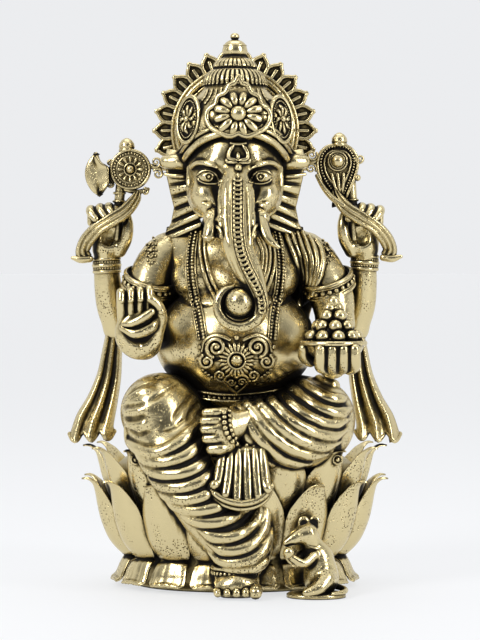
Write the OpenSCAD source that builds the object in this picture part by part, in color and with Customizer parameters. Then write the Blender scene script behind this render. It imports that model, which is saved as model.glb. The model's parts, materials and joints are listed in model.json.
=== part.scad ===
// A seated four-armed Ganesha idol, cast in brass in separate pieces that are pinned and brazed together.
// Millimetres. X is the idol's own left, -Y is the way it faces, Z is up, and the origin is at the middle of its foot.

/* [Lotus base] */
// Half width of the petals at their tips
lotus_r = 68; // [64:1:72]
// Depth of the base as a share of its width
lotus_depth = 0.76; // [0.72:0.01:0.8]
// Number of petals in each tier
petal_count = 16; // [14:2:16]
// Wall of the hollow base casting
base_wall = 4.5; // [3.5:0.5:6]
// Height of the seat above the ground
seat_z = 56; // [55:0.5:57]

/* [Figure] */
// Height of the belly's middle
belly_z = 110; // [108:1:112]
// Half width of the belly
belly_w = 34; // [32:1:35]
// Half width of the head at the eyes
head_w = 20; // [19:0.5:21]
// Radius of the sweet held in the trunk
trunk_sweet_r = 6; // [5:0.5:6.5]

/* [Crown and halo] */
// Height of the halo's middle
halo_z = 197.5; // [196:0.5:199]
// Radius of the halo's ring, at the middle of its rim
halo_ring_r = 25.5; // [25:0.5:26.5]
// Radius at the tips of the halo's petals
halo_tip_r = 35.6; // [34:0.2:36]
// Number of petals round the halo
halo_petal_count = 30; // [24:2:32]
// Top of the crown's finial
crown_top = 240; // [239:0.5:241]

/* [Sweets] */
// Rim radius of the bowl
bowl_r = 13.4; // [13:0.2:14]
// Radius of one sweet in the bowl
sweet_r = 3; // [2.6:0.1:3.2]

/* [Hidden] */
bright = [0.83, 0.73, 0.46];
warm = [0.78, 0.66, 0.38];
dark = [0.66, 0.56, 0.32];
plan_sides = 36;
// Middle of the whole outline, measured from the middle of the lotus base.
middle_x = 0.9;
middle_y = -4.8;

// ---- shape helpers ----------------------------------------------------------------------------

function unit(v) = v / norm(v);
function place(s) = [s[0], s[1], s[2]];
function catmull(a, b, c, d, t) =
    0.5 * (2 * b + (c - a) * t + (2 * a - 5 * b + 4 * c - d) * t * t + (3 * b - a - 3 * c + d) * t * t * t);

// Stations with a smooth curve through them: steps new ones for each stretch.
function smooth(s, steps) = concat(
    [for (i = [0 : len(s) - 2], j = [0 : steps - 1])
        catmull(s[max(i - 1, 0)], s[i], s[i + 1], s[min(i + 2, len(s) - 1)], j / steps)],
    [s[len(s) - 1]]);

// Two triangles for each patch between neighbouring rings, and a flat cap on each end.
function skin_faces(rings, sides) = concat(
    [for (i = [0 : rings - 2], k = [0 : sides - 1])
        [i * sides + k, (i + 1) * sides + k, (i + 1) * sides + (k + 1) % sides]],
    [for (i = [0 : rings - 2], k = [0 : sides - 1])
        [i * sides + k, (i + 1) * sides + (k + 1) % sides, i * sides + (k + 1) % sides]],
    [[for (k = [0 : sides - 1]) k]],
    [[for (k = [0 : sides - 1]) rings * sides - 1 - k]]);

// A closed solid through rings of points, all with the same number of points.
module skin(rings) {
    polyhedron(points = [for (r = rings, p = r) p], faces = skin_faces(len(rings), len(rings[0])));
}

// Stations [x, y, z, half width, half depth] with a rounded end added at each end.
function with_round_ends(s) = let (
    n = len(s) - 1,
    back = unit(place(s[0]) - place(s[1])) * min(s[0][3], s[0][4]),
    ahead = unit(place(s[n]) - place(s[n - 1])) * min(s[n][3], s[n][4]),
    at = function(c, along, lift, size) concat(place(c) + along * lift, [c[3] * size, c[4] * size]))
    concat([at(s[0], back, 0.98, 0.2), at(s[0], back, 0.7, 0.71)], s,
        [at(s[n], ahead, 0.7, 0.71), at(s[n], ahead, 0.98, 0.2)]);

// One ring of an elliptical section, with its width lying along side.
function section(centre, tangent, side, w, d, sides) = let (
    b = unit(cross(tangent, side)),
    a = cross(b, tangent))
    [for (k = [0 : sides - 1]) centre + a * w * cos(360 * k / sides) + b * d * sin(360 * k / sides)];

// A limb: elliptical sections swept along a smooth curve. The stations' width lies along side.
module limb(stations, side = [1, 0, 0], sides = 10, steps = 2) {
    s = with_round_ends(smooth(stations, steps));
    n = len(s) - 1;
    skin([for (i = [0 : n]) section(place(s[i]),
        unit(place(s[min(i + 1, n)]) - place(s[max(i - 1, 0)])), side, s[i][3], s[i][4], sides)]);
}

// A body turned on an elliptical plan: stations [x, y, z, half width, half depth], from below to above.
module stack(stations, grow = 0, sides = 24, steps = 2, twist = 0.3) {
    s = smooth(stations, steps);
    skin([for (i = [0 : len(s) - 1]) [for (k = [0 : sides - 1])
        [s[i][0] + (s[i][3] + grow) * cos(360 * (k + twist) / sides),
            s[i][1] + (s[i][4] + grow) * sin(360 * (k + twist) / sides),
            s[i][2] + (i == 0 ? -grow : i == len(s) - 1 ? grow : 0)]]]);
}

// A curved leaf at an angle round the base: stations [out, height, half width, cup, thickness].
function leaf_ring(s, next, turn) = let (
    along = unit([next[0] - s[0], next[1] - s[1]]),
    at = function(u, lift) let (
        out = s[0] - s[3] * u * u + lift * along[1],
        up = s[1] - lift * along[0],
        across = s[2] * u)
        [out * sin(turn) + across * cos(turn), (across * sin(turn) - out * cos(turn)) * lotus_depth, up])
    concat([for (k = [-2 : 2]) at(k / 2, s[4] * (1 - k * k / 4) * 0.5)],
        [for (k = [2 : -2 : -2]) at(k / 2, -s[4] * (1.25 - k * k / 4) * 0.5)]);
module leaf(s, turn) {
    n = len(s) - 1;
    skin([for (i = [0 : n]) leaf_ring(s[i], i < n ? s[i + 1] : 2 * s[n] - s[n - 1], turn)]);
}

// A finished piece in its place: the base stands a little behind the middle of the whole outline.
module placed(tone = bright) color(tone) translate([-middle_x, -middle_y, 0]) children();

// One casting at its own size: the first child, trimmed where the pieces that it is fitted against stand.
module casting(tone = bright) placed(tone) resize([0, 0, 0]) difference() {
    children(0);
    if ($children > 1) children([1 : $children - 1]);
}

module mirrored() {
    children();
    mirror([1, 0, 0]) children();
}
module at(place, turn = [0, 0, 0]) translate(place) rotate(turn) children();

// A ball with few enough sides for a casting.
module ball(place, r, sides = 12) translate(place) sphere(r = r, $fn = sides);

// ---- lotus base -------------------------------------------------------------------------------

function base_stations(grow) = [
    [0, 0, 0, 43 + grow, (43 + grow) * lotus_depth], [0, 0, 8, 41 + grow, (41 + grow) * lotus_depth],
    [0, 0, 14, 41 + grow, (41 + grow) * lotus_depth], [0, 0, 26, 46 + grow, (46 + grow) * lotus_depth],
    [0, 0, 40, 50 + grow, (50 + grow) * lotus_depth], [0, 0, seat_z - 8, 50 + grow, (50 + grow) * lotus_depth]];

module base_form() stack(base_stations(0), sides = plan_sides, steps = 1);

module base_hollow() {
    stack([for (s = base_stations(-base_wall)) [s[0], s[1], s[2] == 0 ? -4 : min(s[2], seat_z - 8 - base_wall), s[3], s[4]]],
        sides = plan_sides, steps = 1);
}

module lotus_core() casting(dark) {
    base_form();
    base_hollow();
    core_hole();
}

module foot_petals_form() for (k = [0 : petal_count - 1])
    leaf([[43.6, 12, 5, 1.2, 2], [46.6, 9, 7.2, 1.4, 3], [48.6, 5, 7.6, 1.2, 3.4], [50.6, 2.2, 6.6, 1, 2.4],
        [51.8, 1.6, 3, 0.6, 1.6]], (k + 0.5) * 360 / petal_count);

module foot_petals() placed(warm) foot_petals_form();

module outer_petals_form() for (k = [0 : petal_count - 1])
    leaf([[43.2, 13, 5, 1.4, 2.4], [50.6, 18, 9, 2.4, 3.4], [57.4, 28, 9.9, 2.8, 3.2], [61.4, 38, 7.2, 2, 2.6],
        [lotus_r - 1.6, 45, 2.2, 0.8, 1.8], [lotus_r, 46.6, 0.5, 0.2, 1]], (k + 0.5) * 360 / petal_count);

module outer_petals() placed() outer_petals_form();

module inner_petals_form() for (k = [0 : petal_count - 1])
    leaf([[52.4, 30, 5, 1.2, 1.8], [53.6, 38, 8.2, 2.2, 2.4], [57, 47, 7.6, 2.2, 2.6],
        [62.4, 54.4, 4, 1.4, 2.2], [lotus_r - 1, 57, 0.8, 0.3, 1.2]], k * 360 / petal_count);
module inner_petals() placed() inner_petals_form();

// The castings above the base are hollow too, and their hollows open into it.
module core_hole() translate([0, 1, 0]) stack([[0, 0, 30, 27, 19], [0, 0, 72, 27, 19], [0, -2, 80.6, 20, 14]],
    sides = 20, steps = 1, twist = 0.6);

module seed_pod() casting(dark) {
    stack([[0, 0, seat_z - 8, 49, 49 * lotus_depth], [0, 0, seat_z - 3, 50.4, 50.4 * lotus_depth],
        [0, 0, seat_z, 47, 47 * lotus_depth]], sides = plan_sides, steps = 1);
    core_hole();
}

// ---- legs and drapery -------------------------------------------------------------------------

module pod_form() translate([0, 0, seat_z - 20]) linear_extrude(20)
    polygon([for (k = [0 : plan_sides - 1]) 52 * [cos(360 * k / plan_sides), sin(360 * k / plan_sides) * lotus_depth]]);

module seat_form() stack([[0, 2, seat_z, 36, 27], [0, 3, 62, 41, 30], [0, 3, 72, 40, 29], [0, 1, 80, 33, 24],
    [0, -2, 85, 27, 20]], sides = 28, steps = 1);

module hanging_leg_form() {
    limb([[-16, 0, 74, 13, 14], [-26, -16, 76, 16, 16], [-32.5, -27, 76, 17, 16]], side = [0, 0, 1], sides = 12);
    limb([[-32.5, -27, 76, 16.6, 15], [-28, -36, 64, 16.4, 13], [-20, -42, 48, 15, 10.5],
        [-10, -43, 32, 12.6, 9.5], [0, -43, 18, 10.4, 9]], sides = 12);
}

module folded_leg_form() {
    limb([[16, 0, 74, 14, 14], [28, -12, 74, 16, 16], [35, -20, 72, 16.4, 15]], side = [0, 0, 1]);
    limb([[35, -22, 69, 17, 15], [26, -33, 66, 17, 14], [14, -38, 68, 13, 11], [4, -40, 73, 8.5, 8]],
        side = [0, 0, 1]);
}

module seat_drape() casting(warm) {
    seat_form();
    core_hole();
    torso_form();
    hanging_leg_form();
    folded_leg_form();
}

module hanging_leg() casting() {
    hanging_leg_form();
    pod_form();
    base_form();
    torso_form();
    folded_leg_form();
}

module folded_leg() casting() {
    folded_leg_form();
    pod_form();
    torso_form();
}

// The cloth that hangs in pleats below the folded foot.
module pleats_form() limb([[1, -48, 62, 7.5, 3], [1.5, -50.5, 54, 9.5, 3.4], [2, -52, 45, 11.5, 3.6],
    [2, -52.4, 39, 12.6, 3]]);
module front_pleats() casting() {
    pleats_form();
    hanging_leg_form();
    folded_leg_form();
    folded_foot_form();
}

// Five toes in a row, along the first direction, with the big toe first.
module toes(start, across, ahead, r, length) for (k = [0 : 4]) let (
    size = r * (k == 0 ? 1.25 : 1 - 0.05 * k),
    root = start + across * (k + (k == 0 ? -0.1 : 0.15)))
    hull() {
        ball(root, size, 6);
        ball(root + ahead * (length - 0.25 * k), size * 0.9, 6);
    }

module standing_foot_form() {
    limb([[0.6, -38, 9.1, 8, 7.5], [0.8, -46, 6.6, 9, 5.6], [1, -53, 4.4, 10.4, 3.8]], side = [1, 0, 0]);
    toes([9.2, -54.5, 3], [-3.9, 0, 0], [0, -1, -0.06], 2.3, 4);
}
module standing_foot() casting() {
    intersection() {
        standing_foot_form();
        translate([-30, -90, 0]) cube([60, 90, 60]);
    }
    hanging_leg_form();
    base_form();
}

module folded_foot_form() {
    limb([[5, -44, 73, 6, 5.6], [-1, -47, 71.5, 8, 4.4], [-6, -49, 70.6, 8.6, 3.2]], side = [0, 0.1, 1]);
    toes([-2.6, -49.6, 61.6], [-1.5, 0.1, 4], [-1, -0.06, 0.1], 2.1, 6);
}
module folded_foot() casting() {
    folded_foot_form();
    folded_leg_form();
    hanging_leg_form();
}

module anklets() placed(warm) {
    at([0.2, -41.5, 13.5], [-10, 0, 0]) rotate_extrude($fn = 40) translate([10.6, 0]) circle(r = 1.2, $fn = 16);
    at([5.2, -43.5, 73], [0, 90, 22]) rotate_extrude($fn = 40) translate([10.2, 0]) circle(r = 1.1, $fn = 16);
}

// ---- torso ------------------------------------------------------------------------------------

module torso_form(grow = 0) stack([[0, -4, 80, 25, 20], [0, -8, 88, 30.5, 27], [0, -11, 99, belly_w - 0.6, 30.5],
    [0, -12, belly_z, belly_w, 32], [0, -11, 120, belly_w - 1.4, 30], [0, -8, 129, 30, 26], [0, -6, 136, 29, 24],
    [0, -3, 144, 28, 20], [0, 0, 150, 22, 15], [0, -3, 156, 13, 11]], grow, sides = 22);

module torso() casting() {
    torso_form();
    stack([[0, -3, 79, 20, 14], [0, -8, 92, 25, 22], [0, -11, 110, 27, 25], [0, -9, 124, 24, 20], [0, -4, 140, 18, 12]],
        sides = 16, steps = 1, twist = 0.45);
    trunk_form();
}

// A layer on the front of the torso, cut to an outline that is drawn in the front view.
module on_torso(thick) intersection() {
    torso_form(thick);
    translate([0, -6, 0]) rotate([90, 0, 0]) linear_extrude(60) children();
}

// A flat strip along points of the front view.
module strip(points, w) for (i = [0 : len(points) - 2]) hull() for (j = [i, i + 1]) translate(points[j])
    circle(r = w / 2, $fn = 8);

long_left = [[18, 151], [20.4, 140], [19.4, 128], [17.8, 116], [17, 107]];
long_right = [[-15, 151], [-18.6, 140], [-17.8, 128], [-16, 116], [-15.4, 107]];
short_left = [[12, 150], [11.6, 140], [7.6, 128]];
short_right = [[-9.6, 150], [-11.6, 142], [-8.6, 131], [-4, 121]];

module long_necklace() casting(warm) {
    on_torso(2) {
        strip(long_left, 4);
        strip(long_right, 4);
    }
    torso_form();
    trunk_form();
    sash_form();
    head_form();
}
module inner_necklace() casting(warm) {
    on_torso(1.4) {
        strip(short_left, 3);
        strip(short_right, 3);
    }
    torso_form();
    trunk_form();
    head_form();
    ball([1.8, -52, 124.5], trunk_sweet_r, 16);
}
module pendant() casting(warm) {
    on_torso(2.6) {
        translate([0.8, 98.5]) circle(r = 9.5, $fn = 24);
        mirrored() hull() {
            translate([12, 101.5]) circle(r = 6, $fn = 16);
            translate([8, 92]) circle(r = 4, $fn = 12);
        }
        translate([0.8, 88.5]) circle(r = 4, $fn = 12);
    }
    torso_form();
    long_necklace_form();
}
module long_necklace_form() on_torso(2) {
    strip(long_left, 4.2);
    strip(long_right, 4.2);
}
module sash_form() on_torso(3) polygon([[21, 153], [27, 153], [36, 140], [36, 118], [33, 112], [27.4, 122], [24, 136]]);
module shoulder_sash() casting() {
    sash_form();
    torso_form();
    front_left_arm_form();
    left_ear_form();
}

module waist_belt() casting(warm) {
    intersection() {
        torso_form(1.8);
        translate([0, 0, 84.2]) cube([90, 90, 4], center = true);
    }
    torso_form();
    hanging_leg_form();
    folded_leg_form();
    seat_form();
    pendant_form();
}
module pendant_form() on_torso(2.6) translate([0.8, 88.5]) circle(r = 4, $fn = 12);

// ---- arms and hands ---------------------------------------------------------------------------

module front_right_arm_form() {
    limb([[-25, -1, 145, 9, 9.6], [-33, -4, 138, 9.8, 10], [-37.6, -9, 126, 9.2, 9.4], [-39, -13, 115, 8, 8.4]]);
    limb([[-39, -13, 113, 7.6, 7.6], [-38.6, -25, 110, 7, 7], [-38.2, -38, 106.4, 6.2, 6.2]]);
}
module front_left_arm_form() {
    limb([[27, -1, 145, 9, 9.6], [35.6, -4, 138, 9.8, 10], [41, -9, 126, 9, 9.4], [43, -13, 113, 7.8, 8.2]]);
    limb([[43.1, -13.2, 111.1, 7.4, 7.4], [42, -25, 104, 6.8, 6.8], [40.4, -38, 98.6, 6.2, 6.2]]);
}
module rear_right_arm_form() {
    limb([[-24.3, 8.2, 139.2, 8, 8], [-38.2, 10, 124.2, 7.4, 7.4], [-50.1, 8.2, 111.1, 6.6, 6.6]]);
    limb([[-52.4, 7, 110, 6.2, 6.2], [-54.6, 5, 122, 6.2, 6.2], [-55.8, 3, 134, 5.4, 5.4], [-56, 2, 141, 4.8, 4.8]]);
}
module rear_left_arm_form() {
    limb([[25.2, 8.1, 139.1, 8, 8], [39.1, 10, 124.1, 7.4, 7.4], [51.1, 8.1, 111, 6.6, 6.6]]);
    limb([[53.2, 7, 110, 6.2, 6.2], [55.2, 5, 122, 6.2, 6.2], [56, 3, 134, 5.4, 5.4], [56.2, 2, 142, 4.8, 4.8]]);
}

module front_right_arm() casting() {
    front_right_arm_form();
    torso_form();
    blessing_hand_form();
}
module front_left_arm() casting() {
    front_left_arm_form();
    torso_form();
    bowl_hand_form();
}
module rear_right_arm() casting() {
    rear_right_arm_form();
    torso_form();
    front_right_arm_form();
    axe_hand_form();
}
module rear_left_arm() casting() {
    rear_left_arm_form();
    torso_form();
    front_left_arm_form();
    noose_hand_form();
}

// A plate with a bead above and below it, worn on the outer side of the upper arm.
module armlet() rotate([0, 0, 18]) rotate_extrude(angle = 214, $fn = 48)
    polygon([[9.6, -3.4], [11.4, -3.4], [11.9, -2.6], [11.4, -1.8], [11.2, 1.8], [11.9, 2.6], [11.4, 3.4], [9.6, 3.4]]);
module armlets() placed(warm) {
    at([-37, -7.4, 130.4], [20, 14, 25]) armlet();
    at([40, -7.4, 130.4], [20, -16, -65]) armlet();
}
// Three rings round a wrist, the middle one thicker.
module bangles(r) for (k = [-1 : 1]) translate([0, 0, 2.5 * k]) rotate_extrude($fn = 48)
    translate([r + 1.1, 0]) circle(r = k == 0 ? 1.4 : 1, $fn = 24);
module wrist_bangles() placed(warm) {
    at([-56, 2.3, 138.6], [6, 6, 0]) bangles(4.8);
    at([56.2, 2.3, 139.6], [6, -4, 0]) bangles(4.8);
    at([-38.3, -34.6, 107.4], [77, 0, 0]) bangles(6);
    at([40.6, -34.6, 99.8], [70, 0, 6]) bangles(6);
}

// A finger through its joints, thinner at its tip.
module finger(points, r) for (i = [0 : len(points) - 2]) hull() for (j = [i, i + 1])
    ball(points[j], r * (1 - 0.06 * j), 6);

module blessing_hand_form() {
    limb([[-38.2, -41, 102, 7, 5], [-38, -44, 108, 9.6, 5], [-38.4, -44.6, 115, 9.8, 4.4], [-39, -44.6, 119, 9, 3.6]]);
    for (k = [0 : 3]) let (x = -45.6 + 4 * k)
        finger([[x, -44.6, 119], [x, -45, 125.6 + 0.5 * k], [x + 0.4, -49, 127.6 + 0.4 * k]], 2.3);
    finger([[-31, -46, 112], [-29, -49, 119], [-31.4, -51, 124]], 2.6);
}
module blessing_hand() casting() {
    blessing_hand_form();
    held_tusk_form();
}
module held_tusk_form() limb([[-45, -51, 107.5, 1.2, 1.2], [-40, -51.4, 110.4, 2.4, 2.2], [-34.4, -51, 115.5, 2, 1.8]],
    side = [0, 0, 1], sides = 10);
module held_tusk() placed(warm) held_tusk_form();

module bowl_hand_form() {
    limb([[40.4, -41, 98, 7, 5], [40, -46, 96.4, 9, 4.6], [39.8, -51, 97.6, 9.6, 4]], side = [1, 0, 0]);
    for (k = [0 : 3]) let (x = 32.6 + 4.8 * k)
        finger([[x, -52, 97.6], [x, -57.4, 100.6], [x, -58.4, 105]], 2.4);
    finger([[31, -43, 98], [28.4, -47, 103.5]], 2.4);
}
module bowl_hand() casting() {
    bowl_hand_form();
    bowl_outside();
}

// The back hands: a palm that faces forward, with its fingers closed round a shaft.
module axe_hand_form() {
    limb([[-56, 2, 142, 5, 5], [-55.4, 1, 148, 7.6, 4.6], [-54, 0.4, 154.6, 7.4, 3.6]]);
    for (k = [0 : 2]) let (x = -59 + 3.8 * k)
        finger([[x, 0.4, 157.4], [x - 0.4, -3, 160.6 + k], [x - 0.8, -6.4, 158.6 + k]], 2.2);
    finger([[-61, 1, 150], [-62.6, -1.4, 157], [-61.6, -4, 160.4]], 2.2);
}
module noose_hand_form() {
    limb([[56.2, 2, 143, 5, 5], [55.6, 1, 149, 7.6, 4.6], [54.4, 0.4, 155.6, 7.4, 3.6]]);
    for (k = [0 : 2]) let (x = 59 - 3.8 * k)
        finger([[x, 0.4, 157.4], [x + 0.4, -3, 160.6 + k], [x + 0.8, -6.4, 158.6 + k]], 2.2);
    finger([[61, 1, 151], [62.6, -1.4, 158], [62, -4, 161]], 2.2);
}
module axe_hand() casting() {
    axe_hand_form();
    axe_shaft_form();
    axe_ribbon_form();
}
module noose_hand() casting() {
    noose_hand_form();
    noose_shaft_form();
    noose_ribbon_form();
}

// ---- what the back hands hold -----------------------------------------------------------------

// A straight round bar between two places.
module bar(a, b, r) let (v = b - a) translate(a)
    rotate([0, acos(v[2] / norm(v)), atan2(v[1], v[0])]) cylinder(r = r, h = norm(v), $fn = 24);

axe_centre = [-45, -2.4, 180.6];
noose_centre = [45, -2.4, 181.4];

module axe_shaft_form() bar([-51, -1.6, 146], [-48.4, -2.2, 175], 2.1);
module axe_shaft() casting(warm) {
    axe_shaft_form();
    axe_disc_form();
}
module axe_disc_form() {
    at(axe_centre, [90, 0, 0]) cylinder(r = 8.7, h = 5, center = true, $fn = 40);
    ball(axe_centre + [-2, 0, 10.6], 3, 14);
    translate(axe_centre + [7.6, 0, 2.4]) rotate([90, 0, 0]) cylinder(r = 3.2, h = 3, center = true, $fn = 20);
    translate(axe_centre + [9, 0, -2.6]) rotate([90, 0, 0]) cylinder(r = 2.6, h = 3, center = true, $fn = 20);
}
module axe_disc() placed() axe_disc_form();

// A crescent blade that points away from the head.
module axe_head() casting(bright) {
    translate([-57, -2.4, 179]) rotate([90, 0, 0]) linear_extrude(3.4, center = true) difference() {
        circle(r = 11, $fn = 48);
        translate([8, 9.4]) circle(r = 9, $fn = 40);
        translate([8.6, -9.4]) circle(r = 9, $fn = 40);
        translate([4.4, -20]) square([20, 40]);
    }
    axe_disc_form();
}

module axe_ribbon_form() limb([[-41, -5.6, 173, 2.2, 1.4], [-44, -8.6, 166, 2.6, 1.5], [-50, -10, 159.4, 3, 1.6],
    [-58, -9, 153.6, 3.2, 1.7], [-63.4, -6, 147, 3, 1.6], [-65.6, -3.6, 142.6, 4, 1.4]], side = [0.6, 0, 1], sides = 8);
module axe_ribbon() casting(warm) {
    axe_ribbon_form();
    axe_disc_form();
}

module noose_shaft_form() bar([51.6, -1.6, 147], [49.6, -2.2, 173], 2.1);
module noose_shaft() casting(warm) {
    noose_shaft_form();
    noose_drop_form();
}
module noose_drop_form() {
    at(noose_centre, [90, 0, 0]) linear_extrude(5, center = true) hull() {
        circle(r = 8, $fn = 40);
        translate([5, -14]) circle(r = 1.6, $fn = 16);
    }
    ball(noose_centre + [0.6, 0, 11], 3.2, 14);
    translate(noose_centre + [-8.6, 0, 0.6]) rotate([90, 0, 0]) cylinder(r = 3.4, h = 3, center = true, $fn = 20);
    translate(noose_centre + [9, 0, 0.6]) rotate([90, 0, 0]) cylinder(r = 3, h = 3, center = true, $fn = 20);
}
module noose_drop() placed() noose_drop_form();
module noose_ribbon_form() limb([[39.4, -5.6, 172, 2.2, 1.4], [44, -8.6, 165, 2.6, 1.5], [51, -10, 158.6, 3, 1.6],
    [59.4, -9, 154, 3.2, 1.7], [65, -6, 148, 3, 1.6], [67.6, -3.6, 143, 4, 1.4]], side = [-0.6, 0, 1], sides = 8);
module noose_ribbon() casting(warm) {
    noose_ribbon_form();
    noose_drop_form();
}

// ---- bowl of sweets ---------------------------------------------------------------------------

bowl_centre = [40, -47.4, 102];
module bowl_outside() translate(bowl_centre) cylinder(r1 = 7, r2 = bowl_r, h = 5.6, $fn = 40);
module sweet_bowl_form() translate(bowl_centre) rotate_extrude($fn = 64)
    polygon([[0, 0], [7, 0], [bowl_r - 0.6, 4.6], [bowl_r, 5], [bowl_r, 5.6], [bowl_r - 1.4, 5.6], [6.4, 1.4], [0, 1.4]]);
module sweet_bowl() placed() sweet_bowl_form();
// Rows of sweets: height above the rim, radius of the row, and number of sweets.
sweet_rows = [[1.4, 8.8, 9], [5.4, 5.8, 6], [9.6, 2.8, 3], [13.8, 0, 1]];
module bowl_sweets() casting(warm) {
    union() {
        translate(bowl_centre + [0, 0, 1.6]) cylinder(r1 = 6, r2 = 10.2, h = 4, $fn = 20);
        translate(bowl_centre + [0, 0, 5.5]) cylinder(r1 = 9.8, r2 = 1, h = 13, $fn = 20);
        for (row = sweet_rows, k = [0 : row[2] - 1]) ball(bowl_centre + [row[1] * cos(360 * k / row[2] + 7),
            row[1] * sin(360 * k / row[2] + 7), 5.8 + row[0]], sweet_r, 6);
    }
    sweet_bowl_form();
}

// ---- head -------------------------------------------------------------------------------------

module head_form(grow = 0) stack([[0, -17, 157, 8, 8], [0, -20, 161, 13.6, 14], [0, -21, 168, 18.4, 18],
    [0, -20, 177, head_w, 19], [0, -19, 186, head_w - 0.4, 18.4], [0, -17, 193, 17.4, 16.4], [0, -15, 199, 12, 12]], grow);
module neck_form() limb([[0, -8, 148, 11, 11], [0, -12, 162, 11, 11]]);
module trunk_form() limb([[0.7, -34.1, 181.1, 6, 5], [1.2, -40, 170, 7, 6], [2, -45, 155, 7.6, 6], [4, -47.4, 141, 6.6, 5.2],
    [8.6, -49, 131, 4.8, 4.2], [11.8, -50.4, 123.6, 3.4, 3.2], [9.2, -51.6, 116.6, 2.8, 2.6], [2, -52.2, 113.8, 2.6, 2.5],
    [-4.8, -52.2, 116.8, 2.4, 2.3], [-7, -52, 123.6, 2.1, 2], [-5.6, -51.8, 129, 1.6, 1.6]], side = [1, 0.05, 0.2]);
module head() casting() {
    union() {
        head_form();
        neck_form();
    }
    torso_form();
    crown_form();
}
module trunk() casting() {
    trunk_form();
    head_form();
    ball([1.8, -52, 124.5], trunk_sweet_r, 16);
}
module trunk_chain() casting(warm) {
    limb([[0.8, -40, 178, 2, 1], [1.4, -46.4, 168, 2.1, 1], [2, -51, 155, 2.2, 1], [4, -52.6, 141, 2.1, 1],
        [8.6, -53.2, 131, 1.8, 1], [11.8, -53.6, 124.6, 1.4, 0.9]], sides = 8);
    trunk_form();
    head_form();
}
module trunk_sweet() placed() translate([1.8, -52, 124.5]) sphere(r = trunk_sweet_r - 0.05, $fn = 48);
module tusk_right_form() limb([[-8.8, -38, 160, 2.8, 2.8], [-9.8, -41.6, 154.6, 2.8, 2.8], [-10.8, -43.4, 150, 2.5, 2.5]], sides = 10);
module tusk_left_form() limb([[10.6, -38, 160, 2.8, 2.8], [12, -42.4, 153.4, 2.7, 2.7], [14.6, -45.6, 148.6, 1.9, 1.9],
    [18, -47.6, 146, 0.8, 0.8]], sides = 10);
module broken_tusk() casting() {
    tusk_right_form();
    head_form();
    trunk_form();
}
module whole_tusk() casting() {
    tusk_left_form();
    head_form();
    trunk_form();
}
module right_ear_form() limb([[-25.6, -11, 185, 5, 3], [-25.6, -12, 180.4, 6.4, 3.6], [-24.4, -11, 172, 6, 2.6],
    [-23.6, -9.4, 164, 6.4, 2.4], [-25.4, -7, 157, 8.6, 2.6], [-27.6, -5, 151.6, 10, 2.6]]);
module left_ear_form() mirror([1, 0, 0]) right_ear_form();
module right_ear() casting() {
    right_ear_form();
    head_form();
    crown_form();
    torso_form();
    front_right_arm_form();
    rear_right_arm_form();
}
module left_ear() casting() {
    left_ear_form();
    head_form();
    crown_form();
    torso_form();
    front_left_arm_form();
    rear_left_arm_form();
}
module eyes() casting(bright) {
    intersection() {
        head_form(1.2);
        translate([0, -24, 0]) rotate([90, 0, 0]) linear_extrude(30) mirrored() translate([11.2, 176.4]) rotate(14)
            polygon([for (k = [0 : 13]) [5.4 * cos(360 * k / 14), 2.2 * sin(360 * k / 14)]]);
    }
    head_form();
    trunk_form();
}
module forehead_mark() casting(bright) {
    intersection() {
        head_form(1.4);
        translate([0, -24, 0]) rotate([90, 0, 0]) linear_extrude(30) {
            translate([0.6, 186.4]) strip([[0, -4], [0, 6]], 1.6);
            translate([0.6, 186.4]) strip([[-1, -1.6], [-3.4, 1], [-2.4, 5]], 1.4);
            translate([0.6, 186.4]) strip([[1, -1.6], [3.4, 1], [2.4, 5]], 1.4);
        }
    }
    head_form();
    trunk_form();
    crown_form();
    crown_band_form();
}

// ---- crown and halo ---------------------------------------------------------------------------

crown_y = -15.6;
halo_front = 4;

module crown_form() difference() {
    stack([[0, -18, 182, 20, 17], [0, -18, 188, 22.4, 19.4], [0, -18, 194, 23.4, 20.4], [0, -17.4, 202, 22.6, 19.6],
        [0, -16.4, 210, 18, 16.6], [0, crown_y, 217, 13.2, 13.2]], steps = 1);
    translate([0, 3, 182]) rotate([-13, 0, 0]) translate([-40, -60, -40]) cube([80, 70, 40]);
}
module crown_band_form() limb([[-22.4, -20, 186.6, 1.9, 1.9], [-18.6, -30, 190, 1.9, 1.9], [-10, -37.2, 193, 1.9, 1.9],
    [0.4, -39.6, 194.4, 1.9, 1.9], [10.6, -37.2, 193, 1.9, 1.9], [19, -30, 190, 1.9, 1.9], [22.8, -20, 186.6, 1.9, 1.9]],
    side = [0, 0, 1], sides = 10);
module crown_band() casting(warm) {
    crown_band_form();
    head_form();
    crown_form();
    right_ear_form();
    left_ear_form();
}
module crown_dome() casting(bright) crown_form();
module crown_tiers() placed(warm) translate([0, crown_y, 217]) rotate_extrude($fn = 64)
    polygon([[0, 0], [13.4, 0], [13.4, 1.2], [12.6, 3.4], [10.4, 5.6], [9.6, 6], [9, 8], [7.4, 10.2], [5.4, 11.4], [0, 11.4]]);
module crown_finial() placed() translate([0, crown_y, 0]) {
    translate([0, 0, 228.4]) rotate_extrude($fn = 64) polygon([[0, 0], [4.4, 0], [5.2, 2.4], [4.9, 5], [3.4, 7.2],
        [1.6, 8.4], [1.4, 9.6], [0, 9.6]]);
    translate([0, 0, crown_top - 2]) sphere(r = 2, $fn = 32);
}
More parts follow.
